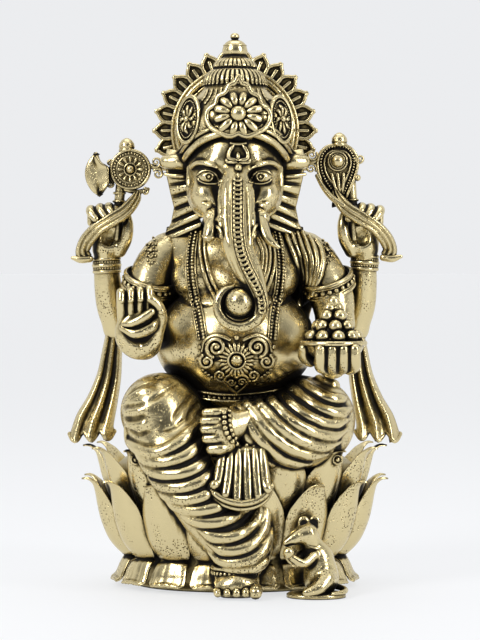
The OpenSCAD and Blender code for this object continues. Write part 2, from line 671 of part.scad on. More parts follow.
// Everything that stands on the front of the crown is drawn upright and leans back with it.
module on_crown(side, forward, height, turn, lean) translate([side, forward, height]) rotate([90 + lean, 0, turn])
    children();
module flower_place() on_crown(1.4, -35, 202.4, 0, 6) children();
module crown_flower_form() flower_place() cylinder(r = 10.6, h = 6.6, $fn = 24);
module crown_flower() casting(bright) {
    flower_place() union() {
        linear_extrude(4.4) union() {
            circle(r = 8.6, $fn = 24);
            for (k = [0 : 9]) rotate(36 * k) translate([8.2, 0]) circle(r = 2.6, $fn = 10);
        }
        translate([0, 0, 4.2]) cylinder(r1 = 3.8, r2 = 2.2, h = 2.8, $fn = 18);
    }
    crown_form();
    crown_band_form();
}
module crown_side_plates() casting(warm) {
    mirrored() on_crown(16.6, -29.6, 200, 48, 4) scale([0.6, 1, 1]) cylinder(r = 9.6, h = 4.4, $fn = 20);
    crown_form();
    crown_band_form();
    crown_flower_form();
}

module halo_disc() casting(dark) {
    translate([0, halo_front + 4, halo_z]) rotate([90, 0, 0]) cylinder(r = halo_ring_r - 1.6, h = 3, $fn = 48);
    crown_form();
    head_form();
    neck_form();
}
module halo_ring() placed() translate([0, halo_front + 1.6, halo_z]) rotate([90, 0, 0])
    rotate_extrude($fn = 96) translate([halo_ring_r, 0]) circle(r = 1.5, $fn = 24);
module halo_petals() placed(warm) translate([0, halo_front + 3.2, halo_z]) rotate([90, 0, 0]) linear_extrude(2.4)
    union() {
        difference() {
            circle(r = halo_ring_r + 3, $fn = 96);
            circle(r = halo_ring_r + 1.5, $fn = 96);
        }
        for (k = [0 : halo_petal_count - 1]) rotate((k + 0.5) * 360 / halo_petal_count)
            polygon([[halo_ring_r + 2.4, -2.4], [halo_ring_r + 5, -3.3], [halo_ring_r + 7.4, -2.6], [halo_tip_r, 0],
                [halo_ring_r + 7.4, 2.6], [halo_ring_r + 5, 3.3], [halo_ring_r + 2.4, 2.4]]);
    }

// ---- scarf and mouse --------------------------------------------------------------------------

module right_scarf_form() limb([[-51.6, 5, 110, 4, 3], [-53, 5, 100, 5.4, 3], [-54.4, 4.6, 88, 5.8, 3.2],
    [-58, 3, 76, 7.4, 3.4], [-65, 0, 66, 9.6, 3]], side = [1, 0, 0.4]);
module right_scarf_end() casting(warm) {
    right_scarf_form();
    rear_right_arm_form();
    hanging_leg_form();
    inner_petals_form();
}
module left_scarf_form() limb([[53, 5, 110, 4, 3], [55, 5, 100, 5.4, 3], [57, 4.6, 88, 5.8, 3.2],
    [60.6, 3, 76, 7.4, 3.4], [67, 0, 67, 9.6, 3]], side = [1, 0, -0.4]);
module left_scarf_end() casting(warm) {
    left_scarf_form();
    rear_left_arm_form();
    folded_leg_form();
    inner_petals_form();
}

module mouse_form() {
    limb([[36, -42, 4, 7, 8], [36.4, -43, 11, 7, 8], [33.6, -45, 18, 5.4, 6.4], [30, -48, 25, 4, 4.4]], side = [1, 0, 0]);
    limb([[29.4, -47, 27, 4.4, 4.2], [24.6, -50, 25, 3, 3], [20.6, -51.6, 22.6, 1.6, 1.6]], side = [0, 1, 0], sides = 10);
    limb([[32, -49, 18, 2.2, 2.2], [28, -53, 14.6, 1.9, 1.9], [22.6, -53.4, 17.6, 1.7, 1.7]], side = [0, 1, 0], sides = 8);
    ball([21.6, -53, 18.8], 2.6, 10);
    mouse_ears() translate([31, -46.4, 31]) rotate([70, 0, 20]) cylinder(r = 2.8, h = 1.6, center = true, $fn = 12);
    translate([34, -46, 0]) scale([1.2, 0.95, 1]) cylinder(r = 10, h = 2, $fn = 16);
    limb([[41, -38, 4, 1.6, 1.6], [45, -42, 3.2, 1.3, 1.3], [44, -49, 3, 1, 1], [39, -52.6, 2.6, 0.8, 0.8]], side = [0, 0, 1],
        sides = 8);
}
module mouse_ears() {
    children();
    translate([-4.4, -1, -1]) children();
}
module mouse() casting(bright) {
    intersection() {
        mouse_form();
        translate([0, -90, 0]) cube([60, 90, 60]);
    }
    base_form();
    foot_petals_form();
    outer_petals_form();
}

lotus_core();
foot_petals();
outer_petals();
inner_petals();
seed_pod();
seat_drape();
hanging_leg();
folded_leg();
front_pleats();
standing_foot();
folded_foot();
anklets();
waist_belt();
torso();
long_necklace();
inner_necklace();
pendant();
shoulder_sash();
front_right_arm();
front_left_arm();
rear_right_arm();
rear_left_arm();
armlets();
wrist_bangles();
blessing_hand();
bowl_hand();
axe_hand();
noose_hand();
held_tusk();
axe_head();
axe_disc();
axe_shaft();
axe_ribbon();
noose_drop();
noose_shaft();
noose_ribbon();
sweet_bowl();
bowl_sweets();
head();
trunk();
trunk_chain();
trunk_sweet();
broken_tusk();
whole_tusk();
right_ear();
left_ear();
eyes();
forehead_mark();
crown_band();
crown_dome();
crown_tiers();
crown_finial();
crown_flower();
crown_side_plates();
halo_disc();
halo_ring();
halo_petals();
right_scarf_end();
left_scarf_end();
mouse();
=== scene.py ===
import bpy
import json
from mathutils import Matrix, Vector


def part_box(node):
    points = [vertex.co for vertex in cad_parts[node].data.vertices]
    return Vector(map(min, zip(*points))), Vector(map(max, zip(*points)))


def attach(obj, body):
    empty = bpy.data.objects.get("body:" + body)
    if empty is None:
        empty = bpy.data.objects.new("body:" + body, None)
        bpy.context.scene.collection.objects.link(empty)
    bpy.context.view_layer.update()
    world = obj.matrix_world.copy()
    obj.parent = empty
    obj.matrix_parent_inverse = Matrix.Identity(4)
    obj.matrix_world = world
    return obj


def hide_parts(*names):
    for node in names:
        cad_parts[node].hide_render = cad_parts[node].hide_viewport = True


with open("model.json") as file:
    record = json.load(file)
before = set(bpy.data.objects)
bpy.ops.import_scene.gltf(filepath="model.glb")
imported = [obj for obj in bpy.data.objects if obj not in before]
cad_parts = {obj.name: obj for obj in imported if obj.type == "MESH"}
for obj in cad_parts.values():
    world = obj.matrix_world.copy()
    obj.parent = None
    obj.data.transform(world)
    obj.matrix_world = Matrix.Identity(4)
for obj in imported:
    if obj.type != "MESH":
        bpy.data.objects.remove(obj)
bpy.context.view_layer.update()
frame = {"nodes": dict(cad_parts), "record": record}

import json
import math

import bpy
import numpy as np
from mathutils import Vector

# Shapes below are in millimetres, measured from the middle of the lotus base: x to the idol's left, -y the
# way it faces, z up. make() turns them into metres in the frame of the CAD model.
core_low, core_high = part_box("lotus_core")
SHIFT = np.array([500 * (core_low.x + core_high.x), 500 * (core_low.y + core_high.y), 0.0])
TAU = 2 * math.pi
# The turn of a ring that lies level.
flat = np.eye(3)


# ---- curves and meshes ------------------------------------------------------------------------

def unit(v):
    v = np.asarray(v, float)
    return v / np.maximum(np.linalg.norm(v, axis=-1, keepdims=True), 1e-9)


def curve(points, step=1.0, n=None):
    """Evenly spaced points on a smooth curve through the given ones. Columns after the third go along."""
    p = np.asarray(points, float)
    q = np.vstack([2 * p[0] - p[1], p, 2 * p[-1] - p[-2]])
    t = np.linspace(0, 1, 12, endpoint=False)[:, None]
    fine = []
    for i in range(len(p) - 1):
        a, b, c, d = q[i:i + 4]
        bend, twist = 2 * a - 5 * b + 4 * c - d, 3 * b - a - 3 * c + d
        fine.append(0.5 * (2 * b + (c - a) * t + bend * t**2 + twist * t**3))
    fine = np.vstack(fine + [p[-1:]])
    along = np.r_[0, np.cumsum(np.linalg.norm(np.diff(fine[:, :3], axis=0), axis=1))]
    at = np.linspace(0, along[-1], n or max(2, int(round(along[-1] / step)) + 1))
    return np.stack([np.interp(at, along, fine[:, k]) for k in range(fine.shape[1])], 1)


def grid_faces(rows, cols, wrap=False):
    i = np.arange(rows - 1)[:, None]
    k = np.arange(cols if wrap else cols - 1)[None, :]
    a = i * cols + k
    b = i * cols + (k + 1) % cols
    return np.stack([a, b, b + cols, a + cols], -1).reshape(-1, 4)


def tube(points, n=10, side=(0, 1, 0), step=0.8, ends=True):
    """A tube with rounded ends along points [x, y, z, half width, half depth]; its width lies along side."""
    c = curve(points, step)
    if c.shape[1] == 4:
        c = np.hstack([c, c[:, 3:4]])
    t = unit(np.gradient(c[:, :3], axis=0))
    if ends:
        caps = []
        for at, sign in ((0, -1), (-1, 1)):
            r = min(c[at, 3], c[at, 4])
            for turn in (28, 55, 80):
                lift, size = math.sin(math.radians(turn)), math.cos(math.radians(turn))
                caps.append(np.r_[c[at, :3] + sign * t[at] * r * lift, c[at, 3:5] * size])
        c = np.vstack([caps[2::-1], c[:, :5], caps[3:]])
        t = np.vstack([t[:1]] * 3 + [t] + [t[-1:]] * 3)
    b = unit(np.cross(t, np.asarray(side, float)))
    a = np.cross(b, t)
    turn = np.arange(n) * TAU / n
    v = (c[:, None, :3] + a[:, None] * (c[:, 3, None, None] * np.cos(turn)[None, :, None])
         + b[:, None] * (c[:, 4, None, None] * np.sin(turn)[None, :, None]))
    v = v.reshape(-1, 3)
    rows = len(c)
    q = grid_faces(rows, n, True)
    v = np.vstack([v, c[:1, :3], c[-1:, :3]])
    k = np.arange(n)
    low = np.stack([np.full(n, rows * n), (k + 1) % n, k], 1)
    high = np.stack([np.full(n, rows * n + 1), (rows - 1) * n + k, (rows - 1) * n + (k + 1) % n], 1)
    thin = np.r_[np.repeat(0.9 * np.minimum(c[:, 3], c[:, 4]), n), 0.3, 0.3]
    return v, q, np.vstack([low, high]), thin


def wire(points, radius, n):
    """A round wire through the points."""
    return tube(np.column_stack([points, np.full(len(points), radius)]), n)


def ball(n, m):
    """A round ball of radius 1, with n points round it and m rows."""
    up = np.linspace(-math.pi / 2, math.pi / 2, m + 1)[1:-1]
    turn = np.arange(n) * TAU / n
    v = np.stack([np.cos(up)[:, None] * np.cos(turn), np.cos(up)[:, None] * np.sin(turn),
                  np.repeat(np.sin(up)[:, None], n, 1)], -1).reshape(-1, 3)
    v = np.vstack([v, [[0, 0, -1], [0, 0, 1]]])
    k = np.arange(n)
    top = (m - 2) * n
    caps = np.vstack([np.stack([np.full(n, len(v) - 2), (k + 1) % n, k], 1),
                      np.stack([np.full(n, len(v) - 1), top + k, top + (k + 1) % n], 1)])
    return v, grid_faces(m - 1, n, True), caps


def beads(centres, r, n=10, m=7, squash=None):
    """A ball at each centre; r is one radius or one for each."""
    centres = np.asarray(centres, float)
    v, q, t = ball(n, m)
    if squash is not None:
        v = v * np.asarray(squash, float)
    r = np.broadcast_to(np.asarray(r, float), (len(centres),))
    every = centres[:, None] + v[None] * r[:, None, None]
    step = (np.arange(len(centres)) * len(v))[:, None, None]
    return (every.reshape(-1, 3), (q[None] + step).reshape(-1, 4), (t[None] + step).reshape(-1, 3),
            np.repeat(0.8 * r, len(v)))


def lathe(profile, n=96, wave=None, step=0.4):
    """A solid turned round the z axis from points [radius, height]; wave(angle, row) scales its radius."""
    p = np.asarray(profile, float)
    rows = []
    for a, b in zip(p[:-1], p[1:]):
        k = max(1, int(round(np.linalg.norm(b - a) / step)))
        rows.append(a + (b - a) * np.arange(k)[:, None] / k)
    p = np.vstack(rows + [p[-1:]])
    turn = np.arange(n) * TAU / n
    r = np.repeat(p[:, :1], n, 1)
    if wave is not None:
        r = r * wave(turn[None, :], p[:, 1:2])
    v = np.stack([r * np.cos(turn), r * np.sin(turn), np.repeat(p[:, 1:], n, 1)], -1).reshape(-1, 3)
    return v, grid_faces(len(p), n, True), np.zeros((0, 3), int), np.full(len(v), 1.6)


def shell(surface, thick):
    """A closed sheet: a grid of points (rows, columns, 3), thickened behind its face.

    The face looks along (next column) x (next row). thick is one number or one for each point.
    """
    rows, cols = surface.shape[:2]
    du, dv = np.gradient(surface, axis=1), np.gradient(surface, axis=0)
    normal = unit(np.cross(du, dv))
    thick = np.broadcast_to(np.asarray(thick, float), (rows, cols))
    back = surface - normal * thick[..., None]
    v = np.vstack([surface.reshape(-1, 3), back.reshape(-1, 3)])
    n = rows * cols
    front = grid_faces(rows, cols)
    rim = np.r_[np.arange(cols), np.arange(2, rows + 1) * cols - 1,
                np.arange(rows * cols - 2, (rows - 1) * cols - 1, -1), np.arange(rows - 2, 0, -1) * cols]
    following = np.roll(rim, -1)
    edge = np.stack([following, rim, rim + n, following + n], 1)
    quads = np.vstack([front, front[:, ::-1] + n, edge])
    return v, quads, np.zeros((0, 3), int), np.tile(0.6 * thick.ravel(), 2)


def moved(part, move=(0, 0, 0), turn=None, scale=None):
    v, q, t, thin = part
    if scale is not None:
        v = v * np.asarray(scale, float)
    if turn is not None:
        v = v @ np.asarray(turn).T
    return v + np.asarray(move, float), q, t, thin


def rot(axis, degrees):
    a = math.radians(degrees)
    c, s = math.cos(a), math.sin(a)
    if axis == "x":
        return np.array([[1, 0, 0], [0, c, -s], [0, s, c]])
    if axis == "y":
        return np.array([[c, 0, s], [0, 1, 0], [-s, 0, c]])
    return np.array([[c, -s, 0], [s, c, 0], [0, 0, 1]])


def bead_ring(centre, radius, bead, turn, n=None):
    n = n or int(TAU * radius / (bead * 1.9))
    a = np.arange(n) * TAU / n
    ring = np.stack([radius * np.cos(a), radius * np.sin(a), 0 * a], 1) @ np.asarray(turn).T
    return beads(ring + np.asarray(centre), bead, 9, 6)


def hoop(centre, radius, thick, turn):
    a = np.linspace(0, TAU, 49)
    ring = np.stack([radius * np.cos(a), radius * np.sin(a), 0 * a], 1) @ np.asarray(turn).T
    ring = ring + np.asarray(centre)
    axis = np.asarray(turn) @ np.array([0, 0, 1.0])
    return tube(np.hstack([ring, np.full((49, 1), thick)]), 10, axis, 1.2, False)


def join(parts):
    v, q, t, thin, base = [], [], [], [], 0
    for pv, pq, pt, pd in parts:
        v.append(pv)
        q.append(np.asarray(pq, int).reshape(-1, 4) + base)
        t.append(np.asarray(pt, int).reshape(-1, 3) + base)
        thin.append(pd)
        base += len(pv)
    return np.vstack(v), np.vstack(q), np.vstack(t), np.concatenate(thin)


def relaxed(v, q):
    """Moves each point half of the way to the middle of its neighbours."""
    a = np.concatenate([q[:, 0], q[:, 1], q[:, 2], q[:, 3]])
    b = np.concatenate([q[:, 1], q[:, 2], q[:, 3], q[:, 0]])
    count = np.maximum(np.bincount(a, minlength=len(v)) + np.bincount(b, minlength=len(v)), 1)
    middle = np.stack([np.bincount(a, v[b, k], len(v)) + np.bincount(b, v[a, k], len(v))
                       for k in range(3)], 1)
    return v + 0.5 * (middle / count[:, None] - v)


class Clay:
    """A lump shaped by adding and cutting rounded forms: a grid of distances to its surface."""

    def __init__(self, low, high, cell=0.5):
        self.low, self.cell = np.asarray(low, float), cell
        self.count = np.ceil((np.asarray(high, float) - self.low) / cell).astype(int) + 1
        self.d = np.full(self.count, 9.0, np.float32)

    def window(self, low, high):
        """The part of the grid between two corners, and its x, y and z."""
        a = np.maximum(np.floor((np.asarray(low) - self.low) / self.cell).astype(int), 0)
        b = np.minimum(np.ceil((np.asarray(high) - self.low) / self.cell).astype(int) + 1, self.count)
        if (b <= a).any():
            return None, None
        axes = [(self.low[i] + self.cell * np.arange(a[i], b[i])).astype(np.float32) for i in range(3)]
        return tuple(slice(a[i], b[i]) for i in range(3)), np.meshgrid(*axes, indexing="ij", sparse=True)

    def blend(self, where, e, soft, cut):
        """Joins the form e on, or cuts it out, with a fillet of size soft."""
        d = self.d[where]
        if cut:
            h = np.clip(0.5 - 0.5 * (d + e) / soft, 0, 1)
            self.d[where] = d - (d + e) * h + soft * h * (1 - h)
        else:
            h = np.clip(0.5 + 0.5 * (d - e) / soft, 0, 1)
            self.d[where] = d + (e - d) * h - soft * h * (1 - h)

    def blob(self, centre, radii, soft=2.0, turn=None, cut=False):
        """An ellipsoid; turn is a rotation matrix."""
        c, r = np.asarray(centre, float), np.broadcast_to(np.asarray(radii, float), (3,))
        reach = (np.abs(turn) @ r if turn is not None else r) + soft + 2 * self.cell
        where, xyz = self.window(c - reach, c + reach)
        if where is None:
            return
        p = [xyz[i] - c[i] for i in range(3)]
        if turn is not None:
            m = np.asarray(turn)
            p = [p[0] * m[0, i] + p[1] * m[1, i] + p[2] * m[2, i] for i in range(3)]
        k0 = np.sqrt(sum((p[i] / r[i])**2 for i in range(3)))
        k1 = np.sqrt(sum((p[i] / r[i]**2)**2 for i in range(3)))
        self.blend(where, (k0 * (k0 - 1) / np.maximum(k1, 1e-6)).astype(np.float32), soft, cut)

    def rod(self, points, soft=1.0, cut=False):
        """A round bar along points [x, y, z, radius]."""
        p = np.asarray(points, float)
        p = curve(p, max(self.cell * 1.6, 0.45 * p[:, 3].min()))
        reach = p[:, 3].max() + soft + 2 * self.cell
        low, high = p[:, :3].min(0) - reach, p[:, :3].max(0) + reach
        where, _ = self.window(low, high)
        if where is None:
            return
        e = np.full([s.stop - s.start for s in where], 9.0, np.float32)
        origin = np.array([s.start for s in where])
        for a, b in zip(p[:-1], p[1:]):
            r = max(a[3], b[3]) + soft + 2 * self.cell
            here, xyz = self.window(np.minimum(a[:3], b[:3]) - r, np.maximum(a[:3], b[:3]) + r)
            if here is None:
                continue
            d = [xyz[i] - a[i] for i in range(3)]
            ab = b[:3] - a[:3]
            t = np.clip((d[0] * ab[0] + d[1] * ab[1] + d[2] * ab[2]) / max(ab @ ab, 1e-9), 0, 1)
            dist = np.sqrt(sum((d[i] - t * ab[i])**2 for i in range(3)))
            near = dist - (a[3] + (b[3] - a[3]) * t)
            inner = tuple(slice(here[i].start - origin[i], here[i].stop - origin[i]) for i in range(3))
            lo = [max(s.start, 0) for s in inner]
            crop = tuple(slice(lo[i] - inner[i].start, None) for i in range(3))
            inner = tuple(slice(lo[i], inner[i].stop) for i in range(3))
            target = e[inner]
            near = near[crop][tuple(slice(0, n) for n in target.shape)]
            np.minimum(target, near, out=target)
        self.blend(where, e, soft, cut)

    def sample(self, p):
        """The distance to the surface at each point, below zero inside."""
        q = np.clip((p - self.low) / self.cell, 0, self.count - 1.001)
        i = q.astype(int)
        f = (q - i).astype(float)
        out = 0
        for corner in range(8):
            o = np.array([corner & 1, corner >> 1 & 1, corner >> 2])
            w = np.prod(np.where(o, f, 1 - f), axis=1)
            j = i + o
            out = out + w * self.d[j[:, 0], j[:, 1], j[:, 2]]
        return out

    def land(self, p, way=(0, 1, 0)):
        """Moves each point along way until it meets the surface: the points and the surface's normals."""
        p = np.array(p, float)
        way = unit(way)
        for _ in range(160):
            p = p + way * np.clip(self.sample(p), -0.6, 0.8)[:, None]
        e = self.cell * 0.8
        steps = np.eye(3) * e
        normal = np.stack([self.sample(p + step) - self.sample(p - step) for step in steps], 1)
        return p, unit(normal)

    def mesh(self):
        """The surface as quads: one point in each cell that it crosses."""
        d = self.d
        n = self.count
        flat_ids, spots, quads, base = [], [], [], 0
        strides = np.array([n[1] * n[2], n[2], 1])
        for axis in range(3):
            a = np.take(d, range(n[axis] - 1), axis)
            b = np.take(d, range(1, n[axis]), axis)
            at = np.argwhere((a < 0) != (b < 0))
            o1, o2 = [k for k in range(3) if k != axis]
            inside = (at[:, o1] > 0) & (at[:, o2] > 0) & (at[:, o1] < n[o1] - 1) & (at[:, o2] < n[o2] - 1)
            at = at[inside]
            va, vb = a[tuple(at.T)], b[tuple(at.T)]
            spot = at.astype(float)
            spot[:, axis] += va / (va - vb)
            ids = []
            for m1, m2 in ((0, 0), (1, 0), (1, 1), (0, 1)):
                cell = at.copy()
                cell[:, o1] -= m1
                cell[:, o2] -= m2
                ids.append(cell @ strides)
                spots.append(spot)
            ids = np.stack(ids, 1)
            outward = (va < 0) != (axis == 1)
            quads.append(np.where(outward[:, None], ids, ids[:, ::-1]))
            flat_ids.append(ids.T.ravel())
        cells, index = np.unique(np.concatenate(flat_ids), return_inverse=True)
        spots = np.vstack(spots)
        count = np.bincount(index)
        v = np.stack([np.bincount(index, spots[:, k]) / count for k in range(3)], 1)
        q = np.searchsorted(cells, np.vstack(quads))
        v = v * self.cell + self.low
        return relaxed(v, q), q, np.zeros((0, 3), int), np.full(len(v), 2.6)


# ---- materials --------------------------------------------------------------------------------

# Near-black for the deepest recesses: the brass's own patina there, darkened further as painted shade.
PATINA_SHADE_BLACK = (0.009, 0.007, 0.005)


def brass(name, bright, warm, dark, rough, pits, pit_size, grain):
    """Cast brass: polished high places, a warm mid tone, and black patina with painted shade where 'cavity'
    is high.
    """
    m = bpy.data.materials.new(name)
    m.use_nodes = True
    nodes, links = m.node_tree.nodes, m.node_tree.links
    nodes.clear()

    def node(kind, **values):
        made = nodes.new(kind)
        for key, value in values.items():
            if isinstance(value, (int, float, tuple)) and key in made.inputs:
                made.inputs[key].default_value = value
            else:
                setattr(made, key, value)
        return made

    def math_node(operation, a, b=None, clamp=False):
        made = node("ShaderNodeMath", operation=operation, use_clamp=clamp)
        for slot, value in enumerate((a, b)):
            if value is None:
                continue
            if isinstance(value, (int, float)):
                made.inputs[slot].default_value = value
            else:
                links.new(value, made.inputs[slot])
        return made.outputs[0]

    def ramp(source, stops):
        made = node("ShaderNodeValToRGB")
        line = made.color_ramp
        while len(line.elements) < len(stops):
            line.elements.new(0.5)
        for element, (at, colour) in zip(line.elements, stops):
            element.position = at
            element.color = (*colour, 1) if isinstance(colour, tuple) else (colour, colour, colour, 1)
        links.new(source, made.inputs[0])
        return made.outputs[0]

    place = node("ShaderNodeTexCoord").outputs["Object"]

    def noise(scale, detail=3.0, roughness=0.5):
        made = node("ShaderNodeTexNoise", Scale=scale, Detail=detail, Roughness=roughness)
        links.new(place, made.inputs["Vector"])
        return made.outputs["Fac"]

    # Painted shade: the 'cavity' attribute and the ambient occlusion node darken the colour in recesses and
    # where parts or the floor come close, over the patina the brass really has there.
    cavity = node("ShaderNodeAttribute", attribute_name="cavity").outputs["Fac"]
    crevice = node("ShaderNodeAmbientOcclusion", samples=4, Distance=0.0022)
    ao_shade = math_node("MULTIPLY", math_node("SUBTRACT", 0.88, crevice.outputs["AO"]), 1.4, True)
    cavity = math_node("ADD", cavity, ao_shade)
    blotch = noise(190.0, 4.0, 0.62)
    speck = noise(950.0, 3.0, 0.6)
    patina_shade_mottled = math_node("ADD", cavity, math_node("MULTIPLY", math_node("SUBTRACT", blotch, 0.5), 0.34))
    patina_shade_mottled = math_node("ADD", patina_shade_mottled, math_node("MULTIPLY", math_node("SUBTRACT", speck, 0.5), 0.16), True)
    cells = node("ShaderNodeTexVoronoi", feature="F1", Scale=pit_size)
    links.new(place, cells.inputs["Vector"])
    pit_place = ramp(noise(70.0, 2.0), [(0.46, 0.0), (0.62, 1.0)])
    hole = ramp(cells.outputs["Distance"], [(0.14, 1.0), (0.34, 0.0)])
    pit = math_node("MULTIPLY", math_node("MULTIPLY", hole, pit_place), pits)
    patina_shade_pits = math_node("MAXIMUM", patina_shade_mottled, pit)
    # Colour runs from polished brass to patina black as the painted shade, patina and pits grow.
    colour = ramp(patina_shade_pits, [(0.06, bright), (0.25, warm), (0.45, dark), (0.7, PATINA_SHADE_BLACK)])
    shader = node("ShaderNodeBsdfPrincipled")
    shader.inputs["Specular IOR Level"].default_value = 0.2
    links.new(colour, shader.inputs["Base Color"])
    metal = ramp(patina_shade_pits, [(0.5, 1.0), (0.85, 0.25)])
    links.new(metal, shader.inputs["Metallic"])
    rough_wave = math_node("MULTIPLY", math_node("SUBTRACT", noise(330.0, 3.0), 0.5), 0.14)
    rough_in_recesses = ramp(patina_shade_pits, [(0.2, rough), (0.7, 0.62)])
    links.new(math_node("ADD", rough_in_recesses, rough_wave, True), shader.inputs["Roughness"])
    bump_fine = node("ShaderNodeBump", Strength=grain, Distance=0.0002)
    links.new(noise(1500.0, 2.0, 0.6), bump_fine.inputs["Height"])
    bump_cast = node("ShaderNodeBump", Strength=0.35, Distance=0.0005)
    links.new(noise(240.0, 3.0, 0.55), bump_cast.inputs["Height"])
    links.new(bump_fine.outputs[0], bump_cast.inputs["Normal"])
    bump_pit = node("ShaderNodeBump", Strength=0.8, Distance=0.0005, invert=True)
    links.new(pit, bump_pit.inputs["Height"])
    links.new(bump_cast.outputs[0], bump_pit.inputs["Normal"])
    links.new(bump_pit.outputs[0], shader.inputs["Normal"])
    out = node("ShaderNodeOutputMaterial")
    links.new(shader.outputs[0], out.inputs["Surface"])
    return m


FINISH = {
    "polished_brass": brass("polished_brass", (0.70, 0.592, 0.330), (0.40, 0.31, 0.13), (0.09, 0.07, 0.032),
                            0.25, 0.8, 1050.0, 0.12),
    "chased_brass": brass("chased_brass", (0.70, 0.588, 0.325), (0.36, 0.275, 0.11), (0.07, 0.055, 0.025),
                          0.27, 0.5, 1500.0, 0.14),
    "antique_brass": brass("antique_brass", (0.50, 0.43, 0.25), (0.26, 0.21, 0.10), (0.06, 0.05, 0.024),
                           0.42, 0.8, 1100.0, 0.25),
}
made_pieces = []


# The last argument scales the patina and painted shade put into the piece's recesses.
def make(name, parts, replaces=(), slot="polished_brass", patina_shade_scale=1.0):
    """A Blender object from parts (points, quads, triangles), in its place and riding on the one body."""
    v, q, t, thin = join(parts if isinstance(parts, list) else [parts])
    mesh = bpy.data.meshes.new(name)
    mesh.vertices.add(len(v))
    mesh.vertices.foreach_set("co", ((v + SHIFT) * 0.001).astype(np.float32).ravel())
    corners = np.concatenate([q.ravel(), t.ravel()]).astype(np.int32)
    mesh.loops.add(len(corners))
    mesh.loops.foreach_set("vertex_index", corners)
    mesh.polygons.add(len(q) + len(t))
    starts = np.concatenate([np.arange(len(q)) * 4, len(q) * 4 + np.arange(len(t)) * 3]).astype(np.int32)
    mesh.polygons.foreach_set("loop_start", starts)
    mesh.update(calc_edges=True)
    mesh.validate()
    mesh.shade_smooth()
    piece = bpy.data.objects.new(name, mesh)
    bpy.context.scene.collection.objects.link(piece)
    mesh.materials.append(FINISH[slot])
    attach(piece, "root")
    if replaces:
        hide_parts(*([replaces] if isinstance(replaces, str) else replaces))
    made_pieces.append((piece, thin, patina_shade_scale))
    return piece


# ---- lotus base -------------------------------------------------------------------------------

LOTUS_DEPTH = 0.76


def petal(stations, angle, cols=17, rows=44, notch=0.0, veins=None):
    """A petal: stations [out, height, half width, cup, thickness] along its middle, turned to its angle."""
    s = np.asarray(stations)
    s = curve(np.column_stack([s[:, :2], np.zeros(len(s)), s[:, 2:]]), n=rows)
    out, up, wide, cup, thick = s[:, 0], s[:, 1], s[:, 3], s[:, 4], s[:, 5]
    u = np.sin(np.linspace(-math.pi / 2, math.pi / 2, cols))
    along = unit(np.stack([np.gradient(out), np.gradient(up)], 1))
    sink = cup[:, None] * np.abs(u) ** 2.2
    if veins is not None:
        sink = sink + veins(u[None, :], np.linspace(0, 1, rows)[:, None])
    r = out[:, None] - sink * along[:, 1:2]
    z = up[:, None] + sink * along[:, 0:1] - notch * np.abs(u) ** 2
    across = wide[:, None] * u
    a = math.radians(angle)
    surface = np.stack([r * math.sin(a) + across * math.cos(a),
                        (across * math.sin(a) - r * math.cos(a)) * LOTUS_DEPTH, z], -1)
    rim = 1 - 0.75 * np.abs(u) ** 3
    return shell(surface, thick[:, None] * rim)


OUTER = [[43.4, 11.5, 3.6, 0.8, 3.0], [48.4, 13.0, 8.4, 2.6, 3.4], [54.8, 19.4, 10.6, 4.8, 3.4],
         [58.6, 27.6, 10.8, 5.4, 3.0], [60.4, 34.6, 9.8, 4.6, 2.6], [61.4, 40.0, 7.2, 2.8, 2.2],
         [62.6, 44.0, 4.4, 1.2, 1.9], [65.0, 46.0, 2.2, 0.4, 1.4], [67.4, 46.2, 0.3, 0.0, 0.7]]
INNER = [[49.5, 27.0, 5.0, 1.2, 2.2], [52.4, 34.0, 9.6, 3.4, 2.8], [55.8, 41.0, 11.0, 5.0, 2.8],
         [58.2, 48.0, 10.4, 4.6, 2.6], [59.6, 53.4, 7.8, 2.8, 2.2], [60.8, 57.4, 4.6, 1.2, 1.9],
         [63.4, 59.6, 2.2, 0.4, 1.4], [66.2, 59.8, 0.3, 0.0, 0.7]]
FOOT = [[44.0, 12.4, 5.4, 0.8, 2.0], [46.2, 11.2, 7.6, 1.4, 2.6], [47.6, 8.2, 8.6, 1.8, 2.8],
        [48.8, 5.2, 9.0, 1.8, 2.6], [51.0, 2.9, 9.0, 1.4, 2.0], [53.4, 2.2, 7.4, 0.8, 1.4]]


def petal_ring(stations, first, **more):
    return [petal(stations, first + 22.5 * k, **more) for k in range(16)]


make("lotus_outer_petals", petal_ring(OUTER, 11.25), "outer_petals", patina_shade_scale=1.35)
make("lotus_inner_petals", petal_ring(INNER, 0.0), "inner_petals", patina_shade_scale=1.5)
make("lotus_foot_petals",
     petal_ring(FOOT, 11.25, notch=0.8, rows=26, cols=25,
                veins=lambda u, s: 0.55 * np.exp(-(u / 0.1)**2) * (1 - 0.5 * s)
                + 0.14 * (1 - np.cos(TAU * 3.5 * u)) * s),
     "foot_petals", "chased_brass", patina_shade_scale=1.6)


# ---- halo -------------------------------------------------------------------------------------

HALO_Z, HALO_Y = 197.5, 5.6


